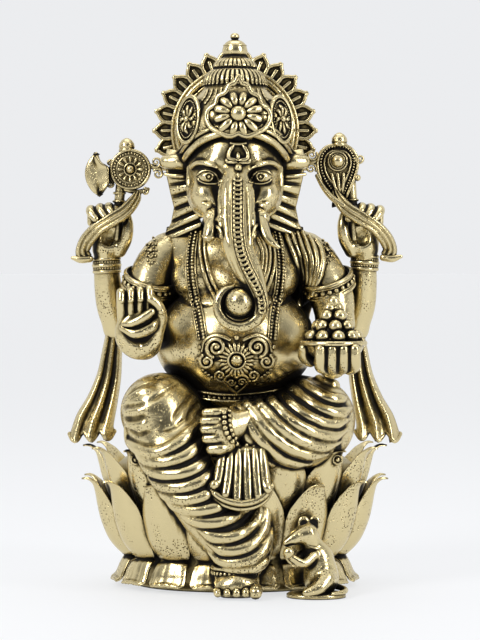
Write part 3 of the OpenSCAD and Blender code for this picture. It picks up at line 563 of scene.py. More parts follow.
def halo_leaf(angle):
    """One pointed leaf of the halo: a raised rim round a hollow with a raised vein."""
    side_line = [[0, 26.2], [3.0, 26.8], [3.7, 29.2], [3.4, 31.6], [2.1, 33.4], [0.8, 34.5], [0, 35.9]]
    outline = side_line + [[-x, r] for x, r in side_line[-2::-1]]
    a = math.radians(angle)

    def place(x, r, y, wide, deep):
        return [r * math.sin(a) + x * math.cos(a), y, HALO_Z + r * math.cos(a) - x * math.sin(a), wide, deep]

    rim = tube([place(x, r, HALO_Y - 0.5, 0.72, 0.8) for x, r in outline], 8, step=0.7)
    vein_line = ((26.5, 0.85), (29.5, 0.75), (32.2, 0.3))
    vein = tube([place(0, r, HALO_Y - 0.3, w, 0.8) for r, w in vein_line], 8, step=0.7)
    u = np.linspace(-1, 1, 7)[None, :]
    s = np.linspace(0, 1, 9)[:, None]
    wide = np.interp(s[:, 0], [0, 0.3, 0.6, 0.8, 1], [3.0, 3.6, 3.3, 1.8, 0.1])[:, None]
    out = 26 + 9.4 * s + 0 * u
    x = wide * u
    surface = np.stack([out * math.sin(a) + x * math.cos(a), HALO_Y + 0.3 + 0 * x,
                        HALO_Z + out * math.cos(a) - x * math.sin(a)], -1)
    return [rim, vein, shell(surface, 1.3)]


def halo_arc(r, thick, y):
    return hoop((0, y, HALO_Z), r, thick, rot("x", 90))


LEAVES = 26
halo_parts = [part for k in range(LEAVES) for part in halo_leaf(360 / LEAVES * (k + 0.5))]
make("halo_leaves", halo_parts + [halo_arc(27.4, 0.9, HALO_Y - 0.6)], "halo_petals", "chased_brass")
make("halo_rim", [halo_arc(25.4, 1.6, HALO_Y), halo_arc(23.2, 0.6, HALO_Y - 0.4)], "halo_ring")


# ---- body and legs ----------------------------------------------------------------------------

def laid_on(clay, line, step, y=-92, way=(0, 1, 0)):
    """A line of [x, z] laid on the clay from the front, without the points that miss it, and its normals."""
    p, normal = clay.land(curve([[x, y, z] for x, z in line], step), way)
    met = np.abs(clay.sample(p)) < 0.5
    return p[met], normal[met]


def folds(clay, lines, radius, sink, soft):
    """Raised cloth folds: each line of [x, z] is laid on the clay from the front as a rounded ridge."""
    laid = [laid_on(clay, line, 1.5) for line in lines]
    for p, normal in laid:
        if len(p) < 3:
            continue
        s = np.linspace(0, 1, len(p))
        r = radius * (0.35 + 0.65 * np.clip(np.sin(math.pi * s) * 2.2, 0, 1))
        p = p - normal * (r * sink)[:, None]
        clay.rod(np.hstack([p, r[:, None]]), soft)


def grooves(clay, lines, radius=0.9, depth=0.3, soft=0.5):
    """Cut creases, each along a line of [x, z] laid on the clay from the front."""
    for line in lines:
        p, normal = laid_on(clay, line, 1.2)
        if len(p) < 3:
            continue
        s = np.linspace(0, 1, len(p))
        r = radius * (0.35 + 0.65 * np.clip(np.sin(math.pi * s) * 2, 0, 1))
        clay.rod(np.hstack([p - normal * (r * depth)[:, None], r[:, None]]), soft, True)


hanging = Clay((-54, -66, 6), (20, 14, 98), 0.5)
hanging.rod([[-12, 0, 74, 13.5], [-26, -16, 76, 15.5], [-31.5, -27, 76.5, 15.8]], 4)
hanging.rod([[-31.5, -28, 76, 15.8], [-27, -36, 63, 15.2], [-19, -42, 48, 12.6], [-9, -43, 32, 11.4],
             [1.5, -43, 20, 10.4], [2.5, -43, 17, 10]], 4)
hanging.rod([[6, -38, 42, 7], [8, -40, 30, 7], [8, -42, 20, 8]], 4)
hanging.blob((-33, -34, 77), (14, 14, 14), 4)
folds(hanging, [
    [(-46, 70), (-44, 64), (-38, 61), (-31, 61), (-24, 64.5), (-18, 69.5), (-14.5, 74)],
    [(-42, 62), (-38, 58), (-31, 56.8), (-24, 58.2), (-18, 61.2), (-13.5, 65.5)],
    [(-40, 56.6), (-35, 53), (-28, 51.8), (-21, 52.6), (-15, 55), (-10.5, 58.5)],
    [(-38.5, 51.4), (-33, 47.8), (-26, 46.4), (-19, 47.2), (-13, 49.8), (-8.6, 54), (-7.5, 59)],
    [(-34.6, 46.6), (-29, 43), (-22, 41.5), (-15, 42.4), (-9, 45)],
    [(-29, 41.6), (-23, 38), (-16, 37), (-9, 38), (-3, 40.2)],
    [(-23.6, 36.4), (-17, 33), (-10, 32), (-3, 33.2), (4, 36.6), (8, 39.6)],
    [(-14.5, 28.6), (-8, 26), (-1.5, 26), (5, 28.6), (9.5, 33.2), (11, 38.4)],
    [(-10.8, 23), (-5, 20.6), (1, 20.6), (7.4, 23), (11.8, 28), (13.2, 36), (13, 42)],
    [(-10.5, 18.6), (-5, 15.6), (1.5, 15.2), (8.4, 17.4), (13, 22), (15, 29), (15.2, 37)],
    [(-9, 14.6), (-3, 12.2), (3.6, 11.8), (10, 13.6), (14.4, 17.6)],
], 2.9, 0.2, 0.6)
folds(hanging, [
    [(-47, 88), (-42, 91), (-36, 92.5)], [(-46, 82), (-41, 85.4), (-36, 87)],
    [(-47.6, 76), (-43, 77.4), (-38.5, 78)], [(-46.5, 71.6), (-42, 71.5), (-37, 72.6)],
], 1.5, 0.5, 0.8)
grooves(hanging, [
    [(-47.5, 79), (-43, 80), (-38, 81)], [(-45, 84.2), (-40, 88), (-34, 90)],
    [(-35, 82), (-30, 85.4), (-24, 88.8)], [(-25.5, 74.5), (-22, 79.4), (-18, 83.4)],
    [(-20, 74), (-17.6, 78), (-15, 81)], [(-46, 74), (-41, 74.6), (-37, 76)],
    [(-44, 69), (-40, 68), (-35.6, 69.4)], [(-30, 69.4), (-25, 71), (-21, 74)], [(-33, 91), (-27, 92)],
], 1.0, -0.3, 1.0)
make("hanging_leg_cloth", hanging.mesh(), "hanging_leg", patina_shade_scale=1.5)

folded = Clay((-8, -66, 44), (56, 16, 100), 0.5)
folded.rod([[12, 0, 74, 13.5], [28, -12, 76, 15.5], [34.5, -21, 73, 16]], 4)
folded.rod([[34.5, -22, 70, 15.8], [27, -33, 67, 14.6], [15, -38, 68.5, 12.4], [4, -39, 73, 8.6]], 4)
folded.blob((38, -24, 76), (11, 15, 12), 4)
folds(folded, [
    [(-1.6, 79), (1.6, 72.6), (6.6, 64.6), (12.6, 57.6), (19, 53.6), (24, 52.8)],
    [(0.6, 81.6), (5.4, 73.4), (11.4, 65), (18.6, 58.6), (26, 55.8), (32, 55.4)],
    [(3.4, 83), (9.6, 74.8), (17, 66.6), (25, 61.4), (32.6, 59.2), (39, 59.2)],
    [(7.6, 83.6), (14.6, 75.6), (22.6, 68.6), (30.6, 64.4), (38, 62.8), (44.6, 64.2)],
    [(12, 85), (19.4, 77.4), (27.6, 71.4), (35.4, 68), (42, 67.2), (47.4, 69.4)],
    [(17, 86), (24.4, 79.6), (32.4, 74.6), (40, 72), (48, 73.6)],
    [(22, 88), (29.4, 82.4), (37, 78), (44, 76.4), (49.4, 78)],
    [(27, 89.6), (33.6, 85.6), (41, 82.4), (48.8, 82.6)],
    [(31, 92), (37, 89.6), (43, 87.6), (48, 87)],
], 2.9, 0.2, 0.6)
make("folded_leg_cloth", folded.mesh(), "folded_leg", patina_shade_scale=1.5)

PLEAT_TOPS = [-5, -1.8, 1.4, 4.8, 8.2, 11.2]
PLEAT_ENDS = [-8.6, -3.8, 1.0, 5.6, 9.8, 13.6]


def pleat_fall():
    """The loose end of the leg cloth: standing pleats over a sheet, with a rolled hem."""
    parts = []
    for top, end in zip(PLEAT_TOPS, PLEAT_ENDS):
        low = 40.6 + 0.085 * (end - 3.4)**2 * 0.5
        parts.append(tube([[top, -49, 63, 1.6, 1.6], [top * 0.8 + end * 0.2 + 0.1, -51.6, 57, 1.9, 2.1],
                           [top * 0.4 + end * 0.6, -53.2, 49, 2.1, 2.3], [end, -54.4, low + 1, 2.3, 2.2]],
                           12))
    rows, across = np.linspace(0, 1, 12), np.linspace(-9, 9, 14)
    back = [np.stack([np.linspace(-6.2 - 3 * s, 12.4 + 2.6 * s, len(across)), 0 * across - 48.8 - 3.8 * s,
                      63 - 20 * s + 0.05 * across**2 * s], -1) for s in rows]
    parts.append(shell(np.stack(back), 2.0))
    hem = [[-10.8, -52.4, 47.6], [-8.6, -54.2, 44.4], [-4, -55.4, 41.6], [2.4, -56, 40.2],
           [8.6, -55.4, 41.2], [12.8, -54.2, 43.8], [15, -52.4, 47.4]]
    parts.append(tube([[*p, 1.5, 1.5] for p in hem], 12))
    parts.append(tube([[x, y + 1, z - 2.2, 1.2, 1.2] for x, y, z in hem], 10))
    return parts


make("pleat_fall", pleat_fall(), "front_pleats", patina_shade_scale=1.2)


def toes(start, step, count, radius, length, way, up):
    """Toes side by side, each with a nail."""
    parts = []
    for k in range(count):
        r = radius * (1.3 if k == 0 else 1.0 - 0.05 * k)
        tip = np.asarray(start) + np.asarray(step) * k + np.asarray(way) * (0 if k == 0 else -0.3 * k)
        base = tip - np.asarray(way) * length
        lift = np.asarray(up) * r * 0.25
        parts.append(tube([[*base, r * 0.9], [*(base * 0.4 + tip * 0.6 + lift), r], [*tip, r * 0.95]], 12))
        nail = tip + np.asarray(up) * r * 0.72 + np.asarray(way) * r * 0.3
        parts.append(beads([nail], r * 0.55, 10, 6, (0.9, 0.9, 0.5)))
    return parts


foot = Clay((-12, -60, 0), (14, -26, 18), 0.5)
foot.rod([[0.6, -40, 12, 7.6], [0.8, -45, 8.2, 6.8], [0.8, -50, 5.6, 5.8]], 3)
foot.rod([[-2.6, -44, 7, 6], [-4, -50, 4.6, 4.2]], 3)
foot.rod([[4.4, -44, 7, 6], [5.6, -50, 4.8, 4.4]], 3)
SOLE_Z = 0.4
above_ground = foot.low[2] + foot.cell * np.arange(foot.count[2])
foot.d = np.maximum(foot.d, (SOLE_Z - above_ground)[None, None, :].astype(np.float32))
foot_toes = toes((8.6, -56.0, 3.3), (-3.9, 0.1, -0.12), 5, 2.35, 7.5, (0, -1, 0), (0, 0, 1))
make("standing_foot_cast", [foot.mesh()] + foot_toes, "standing_foot")

sole = Clay((-18, -60, 56), (12, -36, 86), 0.45)
sole.rod([[6, -44, 74, 5.6], [0, -46.6, 72, 6.2], [-5, -48.4, 70.4, 6.8]], 2.5)
sole.rod([[-4, -48.6, 76, 3.4], [-5, -49, 70, 5], [-3.6, -49.8, 64.4, 4.4]], 2.5)
for z, r, out in ((62.6, 2.55, -9.6), (66.9, 2.3, -11.6), (70.8, 2.2, -12.4), (74.4, 2.0, -12.6),
                  (77.8, 1.8, -12.0)):
    sole.rod([[-4, -51, z + 0.5, r * 0.9], [out * 0.6, -53, z, r], [out, -52.2, z - 0.3, r * 0.95]], 0.2)
make("folded_foot_cast", sole.mesh(), "folded_foot")


ANKLE = [(-4.6, 80), (-4.4, 76.6), (-4.2, 73.2), (-3.6, 70), (-2.2, 67.2), (0, 65), (2.8, 63.8)]


def ankle_beads(shift, lift, bead):
    """A bead row over the folded foot's ankle, on the foot or the cloth, whichever is nearer."""
    line = curve([[x + shift, -80, z] for x, z in ANKLE], bead * 1.95)
    a, _ = sole.land(line)
    b, _ = folded.land(line)
    nearer = np.where(a[:, 1:2] < b[:, 1:2], a, b)
    return beads(nearer[nearer[:, 1] < -20] - (0, lift, 0), bead, 10, 7)


make("anklet_set", [
    hoop((0.4, -42.4, 12.2), 9.4, 1.1, flat), bead_ring((0.4, -42.6, 10.2), 9.6, 1.0, flat),
    ankle_beads(0, 0.6, 1.15), ankle_beads(2.2, 0.5, 1.0)], "anklets", "chased_brass")

body = Clay((-42, -52, 76), (42, 28, 166), 0.55)
body.blob((0, -9, 106), (34.6, 31.6, 26.5), 4)
body.blob((0, -5, 86), (27, 22, 12), 4)
body.blob((0, -4, 140), (30.5, 19, 17), 5)
for side in (-1, 1):
    body.blob((side * 13.5, -13, 133), (14, 12.5, 11.5), 2.4)
    body.blob((side * 24, -1, 146), (10, 10, 9), 4)
body.blob((0, 1, 124), (34, 15, 24), 4)
body.rod([[0, -2, 150, 15], [0, -5, 160, 13.5]], 5)
grooves(body, [[(-31, 135), (-27, 127.4), (-21, 123), (-14, 121.6), (-7, 123)],
               [(31, 135), (27, 127.4), (21, 123), (14, 121.6), (7, 123)]], 0.8, 0.3, 1.2)
make("body_cast", body.mesh(), "torso")
make("seat_cloth", [tube([[0, 3, 60, 36, 27], [0, 3, 72, 39, 28], [0, 0, 84, 28, 22]], 64, (1, 0, 0))],
     "seat_drape", "chased_brass")


def on_body(line, lift=0.0, step=1.0, clay=body, y=-92, way=(0, 1, 0)):
    """A line of [x, z] laid on the body or other clay from the front, lifted off it."""
    p, normal = laid_on(clay, line, step, y, way)
    return p + normal * lift, normal


BELT = [(-29, 89.4), (-20, 86.2), (-10, 84.6), (0, 84.2), (10, 84.8), (20, 86.4), (29, 89.6)]
line, _ = on_body(BELT, 0.6)
back_line, _ = on_body(BELT, 0.4, 1.0, body, 60, (0, -1, 0))
belt_beads, _ = on_body([(x, z - 1.4) for x, z in BELT], 1.0, 2.1)
make("belt_cast", [wire(line, 0.7, 10), wire(line - (0, 0, 2.8), 0.6, 10), beads(belt_beads, 0.95),
                   wire(back_line, 0.7, 10), wire(back_line + (0, 0, 2.8), 0.7, 10)],
     "waist_belt", "chased_brass")


# ---- head, trunk and ears ---------------------------------------------------------------------

TRUNK = [[0.7, -31, 181, 6.4], [0.8, -37.5, 172, 6.8], [0.8, -41.4, 163, 7.2], [1.0, -44.4, 154.5, 7.3],
         [1.8, -46.4, 147, 7.1], [4.0, -47.6, 140, 6.5], [6.8, -48.8, 133.6, 5.6], [9.2, -49.8, 127.6, 4.4],
         [10.6, -50.8, 122.4, 3.4]]
CURL = [[10.6, -50.8, 122.4, 3.4], [9.6, -51.6, 117.2, 2.9], [5.6, -52.2, 113.9, 2.6],
        [0.6, -52.4, 113.3, 2.5], [-4.2, -52.4, 115.6, 2.4], [-6.8, -52.2, 120, 2.2],
        [-6.6, -52, 124.6, 2.0], [-4.2, -51.6, 128, 1.7], [-0.8, -51.2, 129.4, 1.3]]

head = Clay((-27, -62, 104), (27, 8, 206), 0.45)
head.blob((0, -18, 180), (20.4, 19.6, 19), 3)
head.blob((0, -19.5, 189), (19, 17.6, 12), 4)
head.rod([[0, -15, 168, 17.2], [0, -12, 160, 12]], 4)
for side in (-1, 1):
    head.blob((side * 12.4, -24.6, 168.4), (7.4, 11, 8.2), 3)
    head.blob((side * 9, -31, 163.5), (5.4, 6.4, 5.6), 3)
    head.blob((side * 6.4, -31, 183), (6, 6, 4.2), 4)
head.rod(TRUNK, 2.2)
head.rod(CURL, 1.0)
head.rod([[0.7, -39, 176, 2.4], [0.8, -47, 163.5, 2.6], [1.2, -50.8, 153, 2.7], [2.2, -52.4, 145.6, 2.7],
          [4.8, -53.2, 138.4, 2.6], [7.6, -53.6, 132, 2.4], [9.6, -53.8, 126.6, 2.1]], 0.8)
for side in (-1, 1):
    head.rod([[side * 18.6, -28, 180.4, 1.2], [side * 15.4, -33.4, 182.0, 1.1],
              [side * 11, -36.4, 181.2, 1.2], [side * 7.2, -38.4, 177.4, 1.25],
              [side * 5.8, -39.4, 172.6, 1.2]], 1.5)
    turn = rot("z", side * 18)
    head.blob((side * 11.2, -38.4, 176.2), (5.7, 5.2, 3.9), 1.0, turn, True)
    head.blob((side * 11.2, -32.6, 176.1), (4.9, 4.0, 2.9), 0.5, turn)
    head.rod([[side * 5.6, -46.8, 158.6, 1.2], [side * 7.8, -43.6, 157, 1.5],
              [side * 10.6, -41.6, 157.8, 1.3]], 1.0)
    head.rod([[side * 19.6, -23, 180, 1.0], [side * 19.6, -24, 171, 1.1], [side * 17.6, -25, 164, 1.2],
              [side * 14.6, -27, 160.4, 1.2], [side * 11.6, -30, 159.4, 1.0]], 1.4)
    head.rod([[side * 6.6 + 0.6, -40, 170, 1.0], [side * 6.8 + 0.7, -45, 160, 1.1],
              [side * 6.8 + 1.2, -48, 151, 1.1]], 0.8)
    grooves(head, [[(side * 4.2 + 0.7, 173), (side * 4.4 + 0.7, 164), (side * 4.4 + 1.2, 154),
                    (side * 4.2 + 2, 147)]], 0.5, 0.2, 0.6)
head.blob((-9.8, -40.4, 158.6), (3.6, 3.4, 3.4), 1.2)
head.blob((11.2, -40.4, 158.6), (3.6, 3.4, 3.4), 1.2)
grooves(head, [[(14, 165.6), (10, 164.8), (8.4, 162)], [(-14, 165.6), (-10, 164.8), (-8.4, 162)]], 0.5, 0.2,
        0.8)
make("head_cast", head.mesh(), ("head", "trunk"), patina_shade_scale=1.35)


def on_head(line, lift=0.0, step=0.6):
    return on_body(line, lift, step, head)


def cord(line, radius, lift=0.0, clay=body, sides=8, taper=False):
    """A round cord along [x, z] points, laid on the clay's front, without what falls far behind it."""
    p, _ = on_body(line, lift, 0.7, clay)
    p = p[p[:, 1] < p[:, 1].min() + 12]
    s = np.linspace(0, 1, len(p))
    r = radius * (np.clip(np.sin(math.pi * s) * 3, 0.3, 1) if taper else 1 + 0 * s)
    return tube(np.column_stack([p, r]), sides)


def eye(side):
    """Lids, iris and pupil on the eyeball."""
    x, z = side * 11.2, 176.0

    def lid(points):
        return [(x + side * a, z + b) for a, b in points]

    upper = lid([(-5.4, -2.6), (-3.4, 0.6), (-0.6, 2.2), (2.4, 2.0), (5.0, 0.2)])
    lower = lid([(-5.4, -2.6), (-2.6, -2.8), (0.6, -2.6), (3.2, -1.6), (5.0, 0.2)])
    crease = lid([(-4.4, 0.6), (-2.2, 2.8), (0.8, 3.4), (3.6, 2.6)])
    centre, _ = on_head([(x - side * 0.3, z - 0.1), (x - side * 0.3 + 0.1, z - 0.1)], 0.0)
    turn = rot("x", 90)
    return [cord(upper, 0.55, 0.3, head, taper=True), cord(lower, 0.5, 0.25, head, taper=True),
            cord(crease, 0.4, 0.2, head, taper=True), hoop(centre[0] - (0, 0.3, 0), 1.7, 0.32, turn),
            beads([centre[0] - (0, 0.2, 0)], 0.75)]


make("eye_lids", eye(-1) + eye(1), "eyes")


def trident():
    """The forehead mark: two curved prongs meeting below, a middle prong, a ball and a drop."""
    parts = []
    for side in (-1, 1):
        parts.append(cord([(1.4 + side * 1.6, 189.4), (1.4 + side * 3.6, 186.4), (1.4 + side * 3.9, 183.6),
                           (1.4 + side * 1.6, 182.6), (1.4, 182.2)], 0.85, 1.0, head, 10, True))
        parts.append(cord([(1.4 + side * 5, 183.4), (1.4 + side * 4.4, 181.9), (1.4 + side * 2, 181.4),
                           (1.4, 180.8)], 0.65, 0.9, head, 10, True))
    parts.append(cord([(1.4, 182.4), (1.4, 184.2), (1.4, 186)], 0.9, 0.9, head, 10, True))
    parts.append(cord([(-1.4, 189.9), (1.4, 189.5), (4.2, 189.9)], 0.7, 0.9, head, 8))
    spots, _ = on_head([(1.4, 179), (1.4, 178.9)], 0.8)
    parts.append(beads(spots[:1], 1.6, 14, 10))
    spots, _ = on_head([(1.3, 175.4), (1.3, 175.3)], 0.6)
    parts.append(beads(spots[:1], 1.1, 12, 8, (0.7, 0.7, 1.5)))
    return parts


make("trident_mark", trident(), "forehead_mark", "chased_brass")
CHAIN = [(1.2, 174), (1.1, 166), (1.1, 158), (1.4, 151), (2.4, 144.6), (4.8, 138), (8.0, 131.6), (10.4, 126),
         (11.2, 121), (10.6, 117.6)]


def trunk_loops():
    """The chain of half rings down the trunk, with a bead in each and a thin cord on both sides."""
    parts = []
    centre, normal = on_head(CHAIN, 0.0, 1.95)
    way = unit(np.gradient(centre, axis=0))
    for c, n, w in zip(centre[:-1], normal, way):
        s = unit(np.cross(w, n))
        a = np.linspace(-0.15 * math.pi, 1.15 * math.pi, 9)
        size = 1.55 if c[2] > 132 else 1.25
        arc = c + n * 0.8 + s * (size * np.cos(a))[:, None] - w * (-0.95 * np.sin(a) + 0.3)[:, None]
        parts.append(tube(np.column_stack([arc, np.full(9, 0.5)]), 7, n, 0.6))
        parts.append(beads([c + n * 0.6 + w * 0.2], 0.5, 7, 5))
    for side in (-1, 1):
        shift = unit(np.cross(way, normal)) * (2.35 * side)
        p, _ = head.land(centre + shift - (0, 14, 0))
        p = p[np.abs(head.sample(p)) < 0.5]
        parts.append(wire(p, 0.42, 7))
    return parts


make("trunk_loop_chain", trunk_loops(), "trunk_chain", "chased_brass")
make("trunk_ball", [beads([(1.9, -52.4, 123.2)], 6.0, 40, 26),
                    hoop((1.9, -50.6, 123.2), 6.6, 0.7, rot("x", 90))], "trunk_sweet")
short_cuff = cord([(-12.6, 154), (-10.4, 157.6), (-6.8, 154.6), (-4.6, 150.6)], 0.7, 0.4, head, 10, True)
make("short_tusk", [tube([[-8.6, -40, 160, 2.7], [-9.6, -43, 156, 2.95], [-10.4, -45, 152, 2.9],
                          [-10.8, -45.6, 150.6, 2.6]], 20),
                    hoop((-10.6, -45.6, 151.0), 2.7, 0.5, rot("x", 24)), short_cuff], "broken_tusk")
make("long_tusk", [tube([[10.4, -40, 160, 2.6], [11.6, -43.4, 155, 2.6], [13.6, -46, 150.2, 2.1],
                         [16.4, -47.6, 147.4, 1.3], [18.6, -48, 146.2, 0.5]], 18),
                   cord([(13.4, 155), (11, 157.4), (8.2, 154.4), (6.8, 150.4)], 0.7, 0.4, head, 10, True)],
     "whole_tusk")


def ear(side):
    """A long ear: a rolled top, a smooth upper part and pleats that flare out over the shoulder."""
    rows, cols = 90, 26
    s = np.linspace(0, 1, rows)[:, None]
    u = np.linspace(0, 1, cols)[None, :]
    z = 187 - 38 * s
    inner = 18.5 - 5.5 * s**1.5 + 0 * u
    outer = np.interp(s[:, 0], [0, 0.12, 0.26, 0.42, 0.56, 0.70, 0.85, 1],
                      [29.4, 30.2, 29.6, 28, 26.4, 27.6, 31.0, 34.6])[:, None]
    x = inner + (outer - inner) * u
    depth = np.interp(s[:, 0], [0, 0.1, 0.3, 0.6, 1], [-11, -15.4, -14.2, -12.6, -9.5])[:, None]
    phase = s * 9.2 - 0.6 * u * s
    pleat = np.clip((s - 0.24) * 8, 0, 1) * (1 - np.exp(-((phase - np.round(phase)) / 0.17)**2))
    roll = 2.2 * np.exp(-((s - 0.13) / 0.07)**2)
    y = depth + 4.6 * u**2 - 1.9 * pleat * (1 - 0.3 * u) - roll
    drop = 2.6 * u * s * 2.2
    surface = np.stack([side * x, y, z - drop + 2.5 * u * (1 - s)], -1)
    if side < 0:
        surface = surface[:, ::-1]
    return shell(surface[::-1], 3.4)


for side, name in ((-1, "right"), (1, "left")):
    lobes = [tube([[side * 17, -16, 182.4, 3.7, 3.4], [side * 24, -16.6, 182.9, 3.9, 3.6],
                   [side * 29.4, -15, 183, 3.4, 3.0]], 24),
             tube([[side * 18, -16, 177.6, 0.9], [side * 24, -16.4, 177, 1.1],
                   [side * 30, -14.4, 177.8, 0.8]], 10)]
    make(f"{name}_ear_cast", [ear(side)] + lobes, f"{name}_ear", patina_shade_scale=1.3)


# ---- crown ------------------------------------------------------------------------------------

crown = Clay((-30, -44, 178), (30, 8, 222), 0.5)
crown.blob((0, -17.5, 196), (24, 21, 20), 4)
crown.rod([[0, -16, 206, 15.5], [0, -15.6, 214, 12.4]], 5)
rise = math.tan(math.radians(13))
zs = crown.low[2] + crown.cell * np.arange(crown.count[2])
ys = crown.low[1] + crown.cell * np.arange(crown.count[1])
under = (183.4 + (3 - ys)[:, None] * rise - zs[None, :]) * math.cos(math.radians(13))
crown.d = np.maximum(crown.d, under[None].astype(np.float32))
make("crown_shell", crown.mesh(), "crown_dome", "chased_brass", patina_shade_scale=1.4)


BROW = [[-23.4, -8, 181.6], [-21.8, -19, 183.4], [-19.4, -28.4, 186.4], [-14.8, -34.4, 190.6],
        [-8, -37.8, 193.6], [0.6, -39, 195], [9.2, -37.8, 193.6], [16, -34.4, 190.6], [20.4, -28.4, 186.4],
        [22.6, -19, 183.4], [24.2, -8, 181.6]]
brow_parts = [tube([[*p, 1.2, 1.5] for p in BROW], 14),
              tube([[x * 1.05, y + 1.0, z + 2.9, 0.8, 1.0] for x, y, z in BROW], 12),
              tube([[x * 1.06, y + 1.8, z + 5.2, 0.7, 0.9] for x, y, z in BROW], 10)]
brow = curve([[x * 1.05, y + 0.9, z + 4.1] for x, y, z in BROW], 1.3)
brow_parts.append(beads(brow, 0.55, 8, 6))
make("brow_band", brow_parts, "crown_band", "chased_brass")


def gadroon(count, low, high, amount):
    """Upright lobes cut round a turned form between two heights."""
    def wave(turn, height):
        inside = np.clip((height - low) * 3, 0, 1) * np.clip((high - height) * 3, 0, 1)
        return 1 - amount * inside * (np.abs(np.cos(turn * count / 2)) < 0.42)
    return wave


CROWN_Y = -15.6


def set_on_crown(part):
    return moved(part, (0, CROWN_Y, 0))


TIER = [(0, 213), (13.0, 213), (13.9, 213.8), (13.2, 214.8), (12.4, 215.2), (13.4, 216), (13.9, 217.6),
        (13.2, 219.6), (11.8, 221.4), (10.2, 222.4), (9.2, 222.7), (9.0, 223.1), (9.6, 223.5), (9.5, 224.4),
        (8.6, 225.8), (7.0, 227), (5.4, 227.6), (0, 228)]


def tier_wave(turn, height):
    low_part = gadroon(38, 215.8, 222.2, 0.09)(turn, height)
    return np.where(height < 223, low_part, gadroon(28, 223.4, 227.2, 0.10)(turn, height))


make("crown_tier_rings", [set_on_crown(lathe(TIER, 304, tier_wave)),
                          set_on_crown(bead_ring((0, 0, 216), 13.5, 0.62, flat, n=38))],
     "crown_tiers", "chased_brass")
FINIAL = [(0, 227), (4.6, 227), (5.0, 227.6), (4.6, 228.2), (5.1, 229), (5.4, 230.4), (5.2, 232),
          (4.5, 233.6), (3.2, 234.8), (1.7, 235.4), (1.4, 235.7), (1.8, 236.1), (2.0, 236.9), (1.6, 237.8),
          (0.8, 238.3), (0, 238.4)]
make("crown_knob", [set_on_crown(lathe(curve(FINIAL, 0.35), 72)),
                    set_on_crown(hoop((0, 0, 233.0), 4.8, 0.35, flat))],
     "crown_finial", "chased_brass")


def on_plate(parts, place, turn=0):
    """Stands parts drawn flat (x across, y up, z out) on the crown's front."""
    m = rot("z", turn) @ rot("x", 82)
    return [moved(p, place, m) for p in parts]


def flower():
    """The crown's front plate: a twelve-petalled flower in a pointed, lobed frame."""
    parts = []
    for k in range(12):
        a = TAU * (k + 0.5) / 12
        x, y = math.cos(a), math.sin(a) * 0.92
        long = 1.0 if y > -0.5 else 1.08
        parts.append(tube([[x * 3.4, y * 3.4, 0.8, 1.0, 1.1], [x * 6.6, y * 6.6, 1.5, 1.75, 1.3],
                           [x * 9.4 * long, y * 9.4 * long, 0.8, 1.5, 1.0]], 14, (-y, x, 0), 0.5))
    parts.append(beads([(0, 0, 1.4)], 3.5, 28, 18, (1, 1, 0.8)))
    parts.append(hoop((0, 0, 1.0), 3.7, 0.5, flat))
    plate = []
    for r, h in ((0, 0), (5, 0), (9, -0.4), (12.6, -1.6)):
        a = np.linspace(0, TAU, 73)
        lobe = 1 + 0.05 * np.cos(4 * a)
        plate.append(np.stack([r * 1.08 * lobe * np.cos(a), r * 0.88 * lobe * np.sin(a), h + 0 * a], -1))
    parts.append(shell(np.stack(plate)[:, ::-1], 2.4))
    outline = []
    for x, y in ((0, -8.4), (3.6, -9.6), (7.6, -8.0), (11.4, -5.6), (13.4, -1.4), (12.6, 2.2), (9.6, 4.2),
                 (8.6, 7.4), (5.4, 9.2), (3.9, 12), (1.6, 13.2), (0, 16)):
        outline.append([x, y, 1.5 - 0.016 * x * x, 0.95, 1.1])
    parts.append(tube(outline, 10, (0, 0, 1), 0.6))
    parts.append(tube([[-x, y, z, a, b] for x, y, z, a, b in outline], 10, (0, 0, 1), 0.6))
    inner = [[x * 0.87, y * 0.88 + 0.6, z - 0.7, 0.45, 0.6] for x, y, z, a, b in outline[:9]]
    parts.append(tube(inner, 8, (0, 0, 1), 0.6))
    parts.append(tube([[-x, y, z, a, b] for x, y, z, a, b in inner], 8, (0, 0, 1), 0.6))
    return parts


make("crown_front_flower", on_plate(flower(), (1.5, -37.6, 202.2)), "crown_flower", "chased_brass")


def side_plate(side):
    """An oval plate of leaves on the crown's side."""
    parts = []
    a = np.linspace(0, TAU, 41)
    rings = [np.stack([r * 5.9 * np.cos(a), r * 10 * np.sin(a), h + 0 * a], -1)
             for r, h in ((0.02, 0.9), (0.5, 0.8), (0.9, 0.1), (1, -0.9))]
    parts.append(shell(np.stack(rings)[:, ::-1], 1.6))
    rim = np.stack([5.8 * np.cos(a), 9.9 * np.sin(a), 0.4 + 0 * a, 0.9 + 0 * a], 1)
    parts.append(tube(rim, 10, (0, 0, 1), 0.8, False))
    ring = np.stack([4.3 * np.cos(a), 7.9 * np.sin(a), 0.7 + 0 * a], 1)
    parts.append(beads(ring[:-1], 0.42, 7, 5))
    for k in range(8):
        t = TAU * k / 8
        parts.append(tube([[1.2 * math.cos(t), 1.6 * math.sin(t), 1.2, 0.5],
                           [2.8 * math.cos(t), 4.6 * math.sin(t), 1.4, 0.9],
                           [3.4 * math.cos(t + 0.2), 6 * math.sin(t + 0.2), 0.9, 0.4]], 8, (0, 0, 1), 0.6))
    parts.append(beads([(0, 0, 1.3)], 1.4, 14, 10))
    return on_plate(parts, (side * 19.4, -29.2, 200.4), side * 40)


make("crown_side_ovals", side_plate(-1) + side_plate(1), "crown_side_plates", "chased_brass")
net = []
for k in range(-6, 7):
    x = k * 2.6
    ends, _ = on_body([(x * 0.95, 207), (x * 0.8, 210), (x * 0.72, 213.4)], 0.1, 0.8, crown)
    net.append(wire(ends, 0.5, 7))
    net.append(beads(ends[::2], 0.75, 8, 6))
make("crown_net", net, (), "chased_brass")


# ---- arms and hands ---------------------------------------------------------------------------

